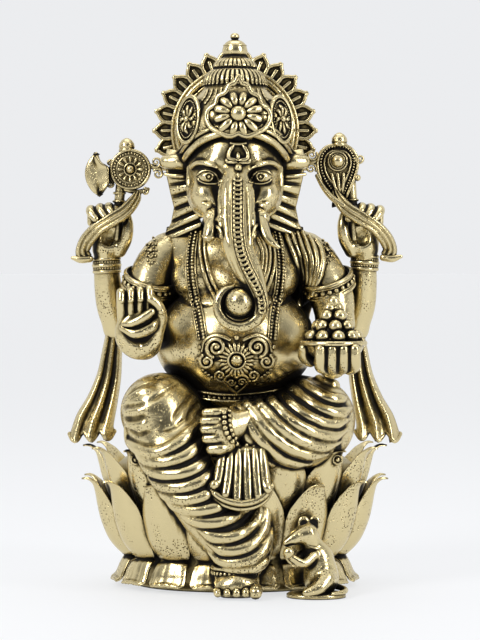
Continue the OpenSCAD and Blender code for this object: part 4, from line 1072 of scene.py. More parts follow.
def arm(rods):
    """An arm from its bars of points [x, y, z, radius]."""
    points = np.vstack([np.asarray(r)[:, :3] for r in rods])
    clay = Clay(points.min(0) - 14, points.max(0) + 14, 0.5)
    for r in rods:
        clay.rod(r, 2.5)
    return clay


right_arm = arm([
    [[-22, -1, 146, 9], [-30, -3, 142, 10.2], [-35.4, -7, 134, 10], [-38.4, -11, 124, 9.6],
     [-39.4, -14, 115, 8.4]],
    [[-39.4, -14, 115, 8.2], [-38.8, -25, 110, 7.2], [-38.6, -37, 106, 6.2]]])
make("right_arm_cast", right_arm.mesh(), "front_right_arm")
left_arm = arm([
    [[24, -1, 146, 9], [32, -3, 142, 10.2], [38, -7, 134, 10], [42, -11, 124, 9.4], [43.2, -14, 114, 8]],
    [[43.2, -14, 113, 7.8], [42, -25, 104.6, 7], [40.6, -37, 99, 6.2]]])
make("left_arm_cast", left_arm.mesh(), "front_left_arm")
back_right = arm([
    [[-24, 8, 140, 8.4], [-38, 10, 126, 8], [-48, 8.6, 114, 6.6], [-51.4, 7.4, 110.6, 5.6]],
    [[-52, 7, 111, 5.4], [-54.4, 5, 121, 6.2], [-55.8, 3, 133, 5.8], [-56, 2.2, 142, 5]]])
make("back_right_arm_cast", back_right.mesh(), "rear_right_arm")
back_left = arm([
    [[25, 8, 140, 8.4], [39, 10, 126, 8], [49, 8.6, 114, 6.6], [52.4, 7.4, 110.6, 5.6]],
    [[53, 7, 111, 5.4], [55.2, 5, 121, 6.2], [56.2, 3, 133, 5.8], [56.4, 2.2, 142, 5]]])
make("back_left_arm_cast", back_left.mesh(), "rear_left_arm")


def bangle_stack(centre, radius, turn):
    """Three rings with beads between them."""
    turn = np.asarray(turn)
    parts = []
    for k in (-1, 0, 1):
        spot = np.asarray(centre) + turn @ np.array([0, 0, 2.7 * k])
        parts.append(hoop(spot, radius, 0.95 if k else 1.15, turn))
    for k in (-0.5, 0.5):
        spot = np.asarray(centre) + turn @ np.array([0, 0, 2.7 * k])
        parts.append(bead_ring(spot, radius + 0.25, 0.6, turn))
    return parts


make("bangle_set",
     bangle_stack((-56, 2.4, 138.6), 5.4, rot("y", -2)) + bangle_stack((56.6, 2.4, 139.8), 5.4, rot("y", 2))
     + bangle_stack((-38.5, -34.6, 106.6), 6.6, rot("x", 77)) + bangle_stack((40.8, -34.6, 99.6), 6.4,
                                                                             rot("x", 68)),
     "wrist_bangles", "chased_brass")


def arm_band(centre, radius, turn, clay, plume):
    """A wide band with raised edges and a bead line, topped by a beaded leaf."""
    turn = np.asarray(turn)
    parts = []
    for k, thick in ((-2.7, 0.9), (2.7, 0.9), (-1.5, 0.5), (1.5, 0.5)):
        parts.append(hoop(np.asarray(centre) + turn @ np.array([0, 0, k]), radius, thick, turn))
    a = np.linspace(0, TAU, 49)
    inner = radius - 0.4
    rows = [np.stack([inner * np.cos(a), inner * np.sin(a), h + 0 * a], -1) @ turn.T + centre
            for h in (-2.7, 0, 2.7)]
    parts.append(shell(np.stack(rows), 1.0))
    parts.append(bead_ring(centre, radius + 0.1, 1.15, turn, n=int(radius * 2.2)))
    for x, z, size in plume:
        spots, _ = on_body([(x, z), (x + 0.1, z)], 0.2, 1, clay)
        parts.append(beads(spots[:1], size, 9, 6))
    return parts


PLUME = [(-36 + 2.2 * math.cos(a) * s, 145 + 5.6 * math.sin(a) * s, 0.62) for s in (1.0, 0.55)
         for a in np.linspace(0, TAU, 15)[:-1]] + [(-36, 145, 1.2)]
make("arm_band_set",
     arm_band((-37.0, -9.6, 130.8), 11.0, rot("y", 14) @ rot("x", 20), right_arm, PLUME)
     + arm_band((40.2, -9.8, 130.8), 10.9, rot("y", -16) @ rot("x", 20), left_arm,
                [(-x + 3.4, z, s) for x, z, s in PLUME]), "armlets", "chased_brass")

# The raised hand: a rounded palm, four bent fingers with gaps between them, a thumb, and the broken tusk.
palm = Clay((-54, -58, 96), (-26, -32, 134), 0.4)
palm.blob((-40, -43.4, 110), (10.2, 5.2, 10.6), 2)
palm.rod([[-38.6, -38, 106, 6], [-39.4, -42, 106, 6.4]], 2)
palm.blob((-40, -48.6, 112.6), (7.2, 2.0, 7.2), 1.4, None, True)
palm.rod([[-46.6, -47.8, 112.6, 1.6], [-41, -50, 110.4, 2.2], [-35, -49.4, 112.8, 2.4],
          [-33.4, -48, 115.6, 1.8]], 0.8)
palm.rod([[-40, -48.6, 103.6, 0.7], [-39.8, -49, 108.6, 0.9]], 0.6, True)
for k, x in enumerate((-47.4, -43.4, -39.4, -35.6)):
    palm.rod([[x + 0.4, -44, 115.4, 2.1], [x, -45.4, 122 + 0.4 * k, 2.0], [x, -47, 126.8 + 0.5 * k, 1.95],
              [x + 0.2, -50, 127.2 + 0.4 * k, 1.8], [x + 0.3, -51.4, 124 + 0.3 * k, 1.5]], 0.35)
palm.rod([[-31.8, -44, 112, 2.6], [-30.6, -47, 117, 2.5], [-31.6, -50, 121.4, 2.3],
          [-34.4, -51.4, 124.4, 1.9]], 0.8)
make("raised_hand_cast", [palm.mesh(), beads([(-30.6, -50.6, 119.6)], 1.7, 14, 9)], "blessing_hand")
make("tusk_piece", [tube([[-46.4, -50.4, 114.2, 0.9], [-43, -51.6, 114.6, 1.6], [-38.6, -52, 116.6, 1.9],
                          [-34.6, -51.8, 119.4, 1.7]], 14)], "held_tusk", "chased_brass")

cup_hand = Clay((24, -66, 86), (58, -34, 112), 0.4)
cup_hand.rod([[40.6, -37, 98.6, 6], [41, -42, 97.4, 6.4]], 2)
cup_hand.blob((42.6, -47.6, 98.6), (10, 8, 4.6), 2)
cup_hand.rod([[31.6, -44, 98.6, 2.6], [28.6, -48, 101, 2.4], [28.6, -51.4, 104.2, 2.0]], 0.8)
for k, x in enumerate((35.4, 40.2, 45, 49.6)):
    cup_hand.rod([[x + (43 - x) * 0.3, -50, 95.4, 2.4], [x, -55.6, 96.8, 2.45], [x, -58.4, 100.4, 2.4],
                  [x, -58.8, 104, 2.3]], 0.25)
make("bowl_hand_cast", cup_hand.mesh(), "bowl_hand")
BOWL = (41.2, -47.4, 0)
bowl = lathe([(0, 99.6), (8, 100.2), (11.6, 102.6), (13.0, 105.2), (14.0, 105.6), (14.2, 106.4),
              (13.8, 107.2), (12.6, 107.4), (11.8, 106.4), (9, 106), (0, 106)], 72)
make("bowl_cast", [moved(bowl, BOWL)], "sweet_bowl")
balls = []
SWEET_LAYERS = ((109, 9.4, 9, 0.0), (113.2, 6.4, 7, 0.3), (117.4, 3.9, 4, 0.7), (120.6, 1.7, 2, 0.2),
                (123.2, 0, 1, 0), (111, 4.4, 5, 0.5), (115.6, 1.6, 2, 0.1))
for height, out, count, first in SWEET_LAYERS:
    for k in range(count):
        a = TAU * k / count + first
        balls.append((BOWL[0] + out * math.cos(a), BOWL[1] + out * math.sin(a), height))
make("bowl_sweet_heap", [beads(balls, 2.85, 22, 14)], "bowl_sweets", "chased_brass")


def grip(side, shift):
    """A back hand: a cupped palm with the thumb beside it and fingers closed over the ribbon."""
    def x(v):
        return side * v + shift

    hand = Clay((min(x(42), x(68)), -16, 136), (max(x(42), x(68)), 14, 172), 0.4)
    hand.rod([[x(56), 2, 141, 5.2], [x(56), 1, 147, 6.4], [x(55.4), 1.4, 152, 6.6],
              [x(55.8), 2.4, 158, 5.4]], 2)
    hand.rod([[x(50.4), -1, 145, 3.2], [x(47.4), -3.4, 150, 2.8], [x(46.4), -4, 155.6, 2.4],
              [x(46.8), -3, 160, 1.9]], 1.4)
    for k, (fx, fz) in enumerate(((50.6, 163), (54.2, 164), (58, 163.6), (62, 162.8))):
        hand.rod([[x(54 + 1.2 * k), 3, 157, 2.2], [x(fx), 1.4, fz - 1.4, 2.25], [x(fx + 0.6), -3, fz, 2.1],
                  [x(fx + 0.4), -6.6, fz - 1.4, 1.9], [x(fx - 1.8), -8.4, fz - 4.2, 1.6]], 0.5)
    hand.rod([[x(62.6), -1, 162, 1.8], [x(62.8), -1, 157, 1.5]], 0.6)
    hand.blob((x(54.4), -5.6, 151), (4.4, 3, 4.2), 1.4, None, True)
    return hand


right_grip = grip(-1, 0)
make("axe_hand_cast", right_grip.mesh(), "axe_hand")
left_grip = grip(1, 0.4)
make("noose_hand_cast", left_grip.mesh(), "noose_hand")


def ribbon(points):
    """A ribbon with raised lines along it: points [x, y, z, width factor]."""
    c = curve(points, 0.8)
    t = unit(np.gradient(c[:, :3], axis=0))
    across = unit(np.cross(t, (0, -1, 0.35)))
    face = unit(np.cross(across, t))
    face *= np.sign(-(face[:, 1:2]) + 1e-6)
    u = np.linspace(-1, 1, 15)
    lift = 0.75 * (0.5 + 0.5 * np.cos(u * math.pi * 3)) * (1 - 0.1 * u**2) - 1.0 * u**2
    w = (c[:, 3:4] * 3.3)[:, :, None] * u[None, :, None]
    surface = c[:, None, :3] + across[:, None] * w + face[:, None] * lift[None, :, None]
    half = len(c) // 2
    normal = np.cross(np.gradient(surface, axis=1)[half, 7], np.gradient(surface, axis=0)[half, 7])
    if normal @ face[half] < 0:
        surface = surface[:, ::-1]
    return shell(surface, 1.8)


AXE_RIBBON = [[-42.2, -4.6, 170.6, 0.5], [-43.4, -7, 167.4, 0.8], [-47.4, -9.4, 162.4, 0.95],
              [-53.6, -10.6, 158.4, 1], [-59.8, -10, 154.4, 1], [-64.2, -8, 149.6, 1], [-66, -6, 145, 0.95],
              [-65, -5, 141.6, 1.0]]
make("axe_ribbon_cast", [ribbon(AXE_RIBBON), tube([[-63, -4.6, 141.4, 1.6], [-67, -5, 141.2, 1.7],
                                                   [-70.4, -5.2, 141.8, 0.8]], 12)],
     "axe_ribbon", "chased_brass")
make("noose_ribbon_cast", [ribbon([[-x + 1.2, y, z + 0.8, w] for x, y, z, w in AXE_RIBBON]),
                           tube([[35.6, -4.4, 177.4, 0.9], [38.6, -5.4, 172, 1.2], [42.4, -7, 167.6, 1.4],
                                 [47, -8.6, 164.4, 1.2]], 10),
                           tube([[64.4, -4.6, 142, 1.6], [68.4, -5, 141.6, 1.7], [72, -5.2, 142.4, 0.8]],
                                12)],
     "noose_ribbon", "chased_brass")


def spiral(cx, cy, size, turns, start, hand, thick=0.6):
    """A flat scroll: x across, y up, z out."""
    s = np.linspace(0, 1, 26)
    r = size * (1 - 0.82 * s)
    a = start + hand * TAU * turns * s
    line = np.stack([cx + r * np.cos(a), cy + r * np.sin(a), 0.8 + 0.5 * s, thick * (1 - 0.35 * s)], 1)
    return tube(line, 8, (0, 0, 1), 0.5)


def emblem(parts, place):
    """Stands flat work (x across, y up, z out) upright, facing the front."""
    return [moved(p, place, rot("x", 90)) for p in parts]


flip = rot("y", 180)
disc = [lathe([(0, -2.4), (8.2, -2.4), (9.0, -1.6), (9.0, 0.6), (8.4, 1.4), (7.6, 1.0), (5.8, 0.6),
               (0, 0.8)], 72),
        bead_ring((0, 0, 1.2), 7.0, 0.62, flat, n=34), hoop((0, 0, 1.0), 5.8, 0.45, flat),
        hoop((0, 0, 1.2), 8.3, 0.6, flat), hoop((0, 0, 1.4), 2.6, 0.5, flat),
        beads([(0, 0, 1.6)], 1.9, 18, 12)]
for k in range(12):
    a = TAU * k / 12
    disc.append(tube([[3.0 * math.cos(a), 3.0 * math.sin(a), 1.1, 0.5],
                      [4.9 * math.cos(a), 4.9 * math.sin(a), 1.2, 0.9]], 8, (0, 0, 1), 0.6))
knob = lathe([(0, 0), (3.4, 0), (3.6, 0.7), (3.2, 1.4), (3.5, 2.0), (3.2, 3.6), (2.2, 5.0), (0.9, 5.8),
              (0, 6)], 32)
side_scrolls = [spiral(11.2, 3.2, 2.4, 1.5, -2.4, 1), spiral(12.0, -2.0, 2.3, 1.5, 2.4, -1),
                tube([[8.6, 1.6, 0, 1.1], [11.4, 0.6, 0, 1.3], [12.8, 0.4, 0, 1.0]], 10, (0, 0, 1)),
                spiral(6.4, -9.6, 1.5, 1.2, 1.6, -1),
                tube([[-2, -8.6, 0, 1.2], [3, -9.8, 0, 1.2], [7.6, -8.6, 0, 0.9]], 10, (0, 0, 1))]
disc_back_face = [moved(d, (0, 0, -1.2), flip) for d in disc]
make("axe_disc_cast", emblem(disc + side_scrolls + disc_back_face, (-45.4, -3.6, 180.2))
     + [moved(knob, (-47, -2.4, 188))], "axe_disc", "chased_brass")
edge_line = curve([[-3.2, 9.2, 0], [-6.4, 6.4, 0], [-8.4, 1.8, 0], [-8.0, -3.2, 0], [-5.4, -7.6, 0],
                   [-1.8, -9.8, 0]], n=25)
neck_line = curve([[-2.8, 8.8, 0], [-1.4, 5.2, 0], [1.8, 2.8, 0], [2.0, -1.6, 0], [2.0, -4.6, 0],
                   [-1.2, -9.4, 0]], n=25)
s = np.linspace(0, 1, 14)
relief = 1.2 - 1.1 * s - 0.7 * np.exp(-((s - 0.5) / 0.2)**2)
blade = np.stack([neck_line + (edge_line - neck_line) * f + (0, 0, h) for f, h in zip(s, relief)], 1)
blade_parts = [shell(blade[::-1], 2.4 - 1.8 * s[None, :] * np.ones((25, 1)))]
blade_parts.append(tube([[1.6, 0.6, 0.9, 0.8], [-3, 0.4, 0.9, 0.7], [-7.4, -0.6, 0.3, 0.3]], 8, (0, 0, 1)))
blade_parts.append(tube([[3.4, 3.6, 0, 0.9], [1.6, 0, 0.4, 1.2], [3.4, -3.6, 0, 0.9]], 10, (0, 0, 1)))
blade_parts.append(spiral(2.4, 4.6, 1.4, 1.2, 0, 1))
blade_parts.append(spiral(2.4, -4.6, 1.4, 1.2, 0, -1))
make("axe_blade_cast", emblem(blade_parts, (-56.6, -2.8, 178.4)), "axe_head", "chased_brass")
make("axe_stem", [tube([[-51, -1.6, 150, 2.2], [-50.6, -2, 162, 2.2], [-49.6, -2.2, 174, 2.2]], 20),
                  hoop((-50.4, -2, 166.4), 2.3, 0.6, flat), hoop((-50.2, -2, 170), 2.3, 0.6, flat)],
     "axe_shaft", "chased_brass")

drop_line = [(0, 8.8), (4.8, 7.8), (8.0, 4.2), (8.6, -0.2), (7.4, -5.2), (5.2, -10.6), (3.0, -15.4),
             (1.8, -17.6)]
drop_left = [(0, 8.8), (-4.8, 7.8), (-8.0, 4.2), (-8.8, -0.6), (-7.4, -6.4), (-4.2, -11.8), (-0.8, -16),
             (1.8, -17.6)]


def drop_face():
    """The drop's front: two rims, a bead row, a boss in rings and three lobes."""
    parts = []
    for inset, thick, lift in ((1.0, 0.7, 0.8), (0.66, 0.4, 1.1)):
        for line in (drop_line, drop_left):
            parts.append(tube([[x * inset, y * inset + (1 - inset) * 1.5, lift, thick] for x, y in line],
                              8, (0, 0, 1), 0.6))
    for line in (drop_line, drop_left):
        c = curve([[x * 0.83, y * 0.86 + 0.6, 1.0] for x, y in line], 1.25)
        parts.append(beads(c, 0.55, 8, 6))
    parts += [hoop((0, 1.6, 1.2), 4.0, 0.55, flat), beads([(0, 1.6, 1.4)], 2.9, 20, 12, (1, 1, 0.8)),
              hoop((0, 1.6, 1.4), 3.0, 0.4, flat)]
    for k, x in enumerate((-2.6, 0, 2.6)):
        parts.append(tube([[x, -4, 1.0, 0.9, 0.8], [x * 0.7 + 0.5, -9, 1.0, 0.8, 0.8],
                           [1.2 + x * 0.15, -14, 0.8, 0.4, 0.4]], 10, (0, 0, 1)))
    return parts


u = np.linspace(0, 1, 25)
outer_line = curve([[x, y, 0] for x, y in drop_line], n=30)
inner_line = curve([[x, y, 0] for x, y in drop_left], n=30)
face = np.stack([inner_line + (outer_line - inner_line) * f + (0, 0, 0.9 * math.sin(math.pi * f))
                 for f in u], 1)
drop_parts = [shell(face[::-1], 4.4)] + drop_face()
drop_parts += [spiral(-11.2, 4.2, 2.3, 1.5, 0.4, -1), spiral(-11.6, -1.6, 2.3, 1.5, -0.4, 1),
               tube([[-8.4, 2, 0, 1.1], [-11, 1.2, 0, 1.3], [-12.4, 1.2, 0, 1.0]], 10, (0, 0, 1)),
               spiral(9.6, 2.6, 2.0, 1.5, 3.0, 1), beads([(8.6, -5.6, 0.4)], 1.5, 12, 8)]
make("noose_drop_cast", emblem(drop_parts, (44.6, -3.4, 182.2)) + [moved(knob, (45.4, -2.4, 190.4))],
     "noose_drop", "chased_brass")
make("noose_stem", [tube([[51.4, -1.6, 150, 2.2], [51.2, -2, 162, 2.2], [50.4, -2.2, 175, 2.2]], 20),
                    hoop((51, -2, 167), 2.3, 0.6, flat)], "noose_shaft", "chased_brass")


# ---- necklaces, pendant and sash --------------------------------------------------------------

def strap(line):
    """Two bead rows with a smooth cord on each side."""
    p, normal = on_body(line, 0.5, 1.35)
    way = unit(np.gradient(p, axis=0))
    across = unit(np.cross(way, normal))
    parts = []
    for shift, size in ((-0.95, 0.85), (1.15, 0.62)):
        spots = p + across * shift
        parts.append(beads(spots, size, 10, 7))
    for shift in (-2.1, 2.1):
        parts.append(wire(p + across * shift - normal * 0.3, 0.45, 8))
    return parts


make("long_necklace_cast",
     strap([(-17.4, 152), (-18.4, 146), (-18.8, 139), (-18.2, 131), (-16.6, 123), (-15, 116), (-13.6, 108)])
     + strap([(18, 152), (19, 146), (19.6, 139), (19.2, 131), (17.8, 123), (16.6, 116), (15.8, 108)]),
     "long_necklace", "chased_brass")


def band(line, width=1.5):
    """Two smooth cords side by side on the body."""
    p, normal = on_body(line, 0.3, 0.8)
    across = unit(np.cross(unit(np.gradient(p, axis=0)), normal))
    return [wire(p + across * shift, 0.85, 10) for shift in (-width * 0.7, width * 0.7)]


make("inner_necklace_cast",
     band([(-13.4, 153), (-13.8, 146), (-13, 139), (-11, 132), (-8, 126), (-7, 124)])
     + band([(13.4, 153), (15.4, 147), (16, 140), (14.4, 133), (12.6, 128)])
     + band([(10.4, 150), (12.6, 144), (12.4, 138), (11.4, 134)], 1.1), "inner_necklace", "chased_brass")


def pendant_work():
    """A sun with rays between scrolls, with side leaves, a bead fringe and a heart drop, drawn flat."""
    parts = []
    for k in range(22):
        a = TAU * k / 22
        parts.append(tube([[4.2 * math.cos(a), 4.2 * math.sin(a), 0.8, 0.55],
                           [6.3 * math.cos(a), 6.3 * math.sin(a), 0.8, 0.8],
                           [7.8 * math.cos(a), 7.8 * math.sin(a), 0.4, 0.3]], 7, (0, 0, 1), 0.8))
    parts += [hoop((0, 0, 1.0), 3.6, 0.6, flat), beads([(0, 0, 1.1)], 2.5, 20, 12, (1, 1, 0.8))]
    for k in range(6):
        a = TAU * k / 6
        parts.append(beads([(1.8 * math.cos(a), 1.8 * math.sin(a), 2.0)], 0.6, 8, 6))
    for side in (-1, 1):
        start = math.pi * (0.5 - 0.5 * side)
        parts.append(spiral(side * 8.6, 5.6, 4.4, 1.7, start - side * 1.2, side, 0.95))
        parts.append(spiral(side * 12.6, -0.6, 3.2, 1.5, start + side * 1.0, -side, 0.8))
        parts.append(spiral(side * 7.0, -6.6, 2.4, 1.4, start - side * 1.6, side, 0.7))
        parts.append(tube([[side * 3, 8.8, 0.6, 0.7], [side * 6, 10.2, 0.6, 0.9],
                           [side * 10, 10.4, 0.4, 0.9],
                           [side * 13.6, 8.0, 0.2, 0.9], [side * 14.6, 3.8, 0, 0.6]], 8, (0, 0, 1), 0.7))
        parts.append(beads([(side * 8.6, 5.6, 1.4), (side * 12.6, -0.6, 1.3), (side * 15.6, 5.6, 0.3)],
                           1.0, 10, 7))
        fringe = curve([[side * 4, -9.4, 0.4], [side * 9, -8.2, 0.2], [side * 14, -4.6, 0.0],
                        [side * 16.4, 0.6, 0]], 1.7)
        parts.append(beads(fringe, 0.9, 9, 7))
    heart = [(0, -7.4), (2.0, -6.2), (4.4, -7.2), (4.8, -9.6), (3.0, -12), (0.0, -14.4)]
    for side in (-1, 1):
        parts.append(tube([[side * x, y, 0.6, 0.7] for x, y in heart], 8, (0, 0, 1), 0.6))
        parts.append(spiral(side * 2.2, -9.4, 1.7, 1.3, 0, side, 0.5))
    parts.append(beads([(0, -11.6, 0.6), (0, 9.6, 0.8), (0, -15.4, 0.2)], 1.1, 10, 7))
    return parts


def lay_on_body(parts, centre):
    """Lays flat work (x across, y up, z out) over the belly."""
    out = []
    for v, q, t, thin in parts:
        p, _ = body.land(np.column_stack([v[:, 0] + centre[0], np.full(len(v), -92.0), v[:, 1] + centre[1]]))
        out.append((np.column_stack([p[:, 0], p[:, 1] - v[:, 2] - 0.3, p[:, 2]]), q, t, thin))
    return out


plate = []
for r in (0.02, 0.5, 1.0):
    a = np.linspace(0, TAU, 65)
    lobe = 1 + 0.06 * np.cos(6 * a)
    plate.append(np.stack([15.5 * r * lobe * np.cos(a), 9.4 * r * lobe * np.sin(a) + 0.6,
                           0.4 - 0.4 * r + 0 * a], -1))
make("pendant_cast", lay_on_body([shell(np.stack(plate)[:, ::-1], 1.4)] + pendant_work(), (0.8, 98.6)),
     "pendant", "chased_brass")

sash = []
for k in range(6):
    top, mid, low_end = 20.6 + 2.9 * k, 24.6 + 2.3 * k, 27.6 + 1.25 * k
    line = [(top, 157.5 - 1.7 * k), (top + 1.8, 150 - 0.8 * k), (mid + 1.6, 140), (low_end + 1.2, 130),
            (low_end - 0.4, 121 + k)]
    p = curve([[x, -60, z] for x, z in line], 1.5)
    at_body, _ = body.land(p)
    at_arm, _ = left_arm.land(p)
    met_body = np.abs(body.sample(at_body)) < 0.5
    met_arm = np.abs(left_arm.sample(at_arm)) < 0.5
    on_arm = met_arm & ((at_arm[:, 1] < at_body[:, 1]) | ~met_body)
    spot = np.where(on_arm[:, None], at_arm, at_body)[met_arm | met_body]
    depth = np.r_[spot[:1, 1], spot[:1, 1], spot[:, 1], spot[-1:, 1], spot[-1:, 1]]
    spot[:, 1] = np.convolve(depth, np.ones(5) / 5, "valid")
    if len(spot) > 3:
        size = np.full((len(spot), 2), (1.75, 1.5))
        sash.append(tube(np.column_stack([spot - (0, 0.6, 0), size]), 12))
make("sash_cast", sash, "shoulder_sash")


# ---- scarf ends and mouse ---------------------------------------------------------------------

def scarf(side):
    """A scarf end: long pleats that widen into a flared, folded hem."""
    c = curve([[side * 52.4, 5, 113, 3.4], [side * 53.8, 4.6, 101, 4.4], [side * 55.2, 4.2, 90, 5.4],
               [side * 58, 2.6, 79.4, 6.8], [side * 61.2, 0.4, 70.4, 8.6], [side * 62.4, -0.8, 64.4, 9.8]],
               0.8)
    t = unit(np.gradient(c[:, :3], axis=0))
    across = unit(np.cross(t, (0, 1, 0)))
    u = np.linspace(-1, 1, 49)
    s = np.linspace(0, 1, len(c))[:, None]
    wave = 1.0 * np.cos(u[None, :] * math.pi * 2.7 + 0.6 * s) * (0.4 + 0.8 * s)
    rim = 2.6 * u[None, :]**4
    w = c[:, 3:4] * u[None, :]
    near_hem = np.clip((s - 0.86) * 7, 0, 1)
    drop = near_hem * (2.0 * np.cos(u[None, :] * math.pi * 2.7) + 2.4 * u[None, :] * side)
    surface = c[:, None, :3] + across[:, None] * w[:, :, None]
    surface = surface + np.stack([0 * w, -wave + rim - 1.6, -drop], -1)
    du = np.gradient(surface, axis=1)[20, 24]
    dv = np.gradient(surface, axis=0)[20, 24]
    if np.cross(du, dv)[1] > 0:
        surface = surface[:, ::-1]
    hem = surface[-1, ::4] + (0, 1.2, 0)
    return [shell(surface, 3.0), wire(hem, 1.1, 10)]


make("right_scarf_cast", scarf(-1), "right_scarf_end", "chased_brass")
make("left_scarf_cast", scarf(1), "left_scarf_end", "chased_brass")

for side, name in ((-1, "right"), (1, "left")):
    x = side * 42.6 + 0.8
    make(f"seat_scroll_{name}", [hoop((x, -33, 56.6), 1.9, 0.7, rot("x", 90)),
                                 beads([(x, -33.4, 56.6)], 1.1)], (), "chased_brass")

rat = Clay((16, -62, -1), (50, -28, 38), 0.4)
rat.blob((36.2, -43, 8), (7.4, 8, 8), 2)
rat.blob((35.4, -43.6, 15), (6.2, 6.8, 8), 3)
rat.rod([[33, -45, 20, 4.6], [30.4, -47, 26, 4.4]], 2.5)
rat.rod([[30, -47, 27, 4.4], [25.4, -49.8, 25.4, 3.0], [21.6, -51.4, 23.4, 1.7]], 1.5)
rat.rod([[33, -49.6, 18, 2.0], [28.6, -53, 15, 1.8], [24, -53.6, 17.4, 1.6]], 0.8)
rat.rod([[28.6, -45, 18, 2.0], [24.4, -49.6, 15.6, 1.7], [21.8, -51.4, 18, 1.5]], 0.8)
rat.rod([[38, -49, 8, 4.0], [34.4, -52.6, 4.4, 3.2], [29.8, -54, 3.0, 1.9]], 1.5)
for side in (0, 1):
    rat.blob((28.8 + 4.6 * side, -46.4 + 1.2 * side, 31.2), (2.6, 1.1, 2.9), 0.8)
    rat.blob((28.6 + 4.6 * side, -47.8 + 1.2 * side, 31.2), (1.7, 0.8, 1.9), 0.4, None, True)
rat.rod([[26.2, -51.8, 26.8, 0.7], [26.8, -51.8, 26.6, 0.7]], 0.4)
rat_parts = [rat.mesh(), beads([(22.4, -53.4, 19.6)], 2.5, 16, 10),
             beads([(26.6, -52.2, 26.9)], 0.75, 10, 7),
             tube([[42, -40, 4, 1.3], [46, -44, 3.2, 1.2], [45.4, -50, 2.8, 1.0], [40.6, -54.4, 2.6, 0.7]],
                  10),
             tube([[30, -50, 22.6, 0.5], [33.4, -50.4, 21, 0.6], [37, -48.4, 20.6, 0.5]], 8)]
slab = lathe([(0, 0.2), (1, 0.2), (1, 1.6), (0.94, 2.1), (0, 2.1)], 40, step=0.5)
rat_parts.append(moved(slab, (34, -46, 0), None, (12.4, 9.8, 1)))
make("mouse_cast", rat_parts, "mouse", patina_shade_scale=1.5)

# Hollow underneath: the profile starts up inside the core and comes round its foot.
core = lathe([(0, 43), (42, 43), (41, 30), (37.6, 12), (36.4, 0.2), (43.2, 0.2), (43.4, 1.4), (41.4, 2.2),
              (41, 6), (41.6, 11), (45, 22), (48.4, 34), (50.2, 44), (50.6, 50), (50.6, 52.8), (48, 55),
              (44, 56.6), (24, 57), (0, 57)], 128, step=2.0)
make("core_cast", [moved(core, (0, 0, 0), None, (1, LOTUS_DEPTH, 1))], ("lotus_core", "seed_pod"),
     "antique_brass")
disc_back = lathe([(0, 0), (24, 0), (24.4, 0.6), (24.4, 2.2), (23.6, 2.8), (0, 2.8)], 96, step=0.8)
make("halo_plate", [moved(disc_back, (0, 8.2, HALO_Z), rot("x", 90))]
     + [hoop((0, 5.0, HALO_Z), r, 0.5, rot("x", 90)) for r in (19, 21.4)], "halo_disc", "antique_brass")


# ---- painted shade, patina and finishes -------------------------------------------------------

# How full the grid is at each scale: the reaches of the blurs, the height of the look in mm, and the weight.
OCCLUSION_SCALES = (((1,), 1.5, 1.2), ((2, 1), 3.0, 1.8), ((4, 3), 5.5, 1.3))
OPEN_GROUND = 0.10
BEND_WEIGHT = 0.6


def blurred(grid, reach):
    """The grid averaged over a box that reaches so many cells each way."""
    for axis in range(3):
        total = np.cumsum(grid, axis=axis, dtype=np.float64)
        total = np.concatenate([np.zeros_like(np.take(total, [0], axis)), total], axis)
        count = grid.shape[axis]
        high = np.minimum(np.arange(count) + reach + 1, count)
        low = np.maximum(np.arange(count) - reach, 0)
        grid = ((np.take(total, high, axis) - np.take(total, low,
                                                      axis)) / (2 * reach + 1)).astype(np.float32)
    return grid


def between(grid, q):
    """The grid's value at each point q, in cells."""
    i = q.astype(int)
    f = q - i
    out = 0
    for corner in range(8):
        o = np.array([corner & 1, corner >> 1 & 1, corner >> 2])
        j = i + o
        out = out + np.prod(np.where(o, f, 1 - f), axis=1) * grid[j[:, 0], j[:, 1], j[:, 2]]
    return out


def point_values(mesh, kind):
    values = np.zeros(len(mesh.vertices) * 3, np.float32)
    mesh.vertices.foreach_get(kind, values)
    return values.reshape(-1, 3)


GRID_CELL = 0.8


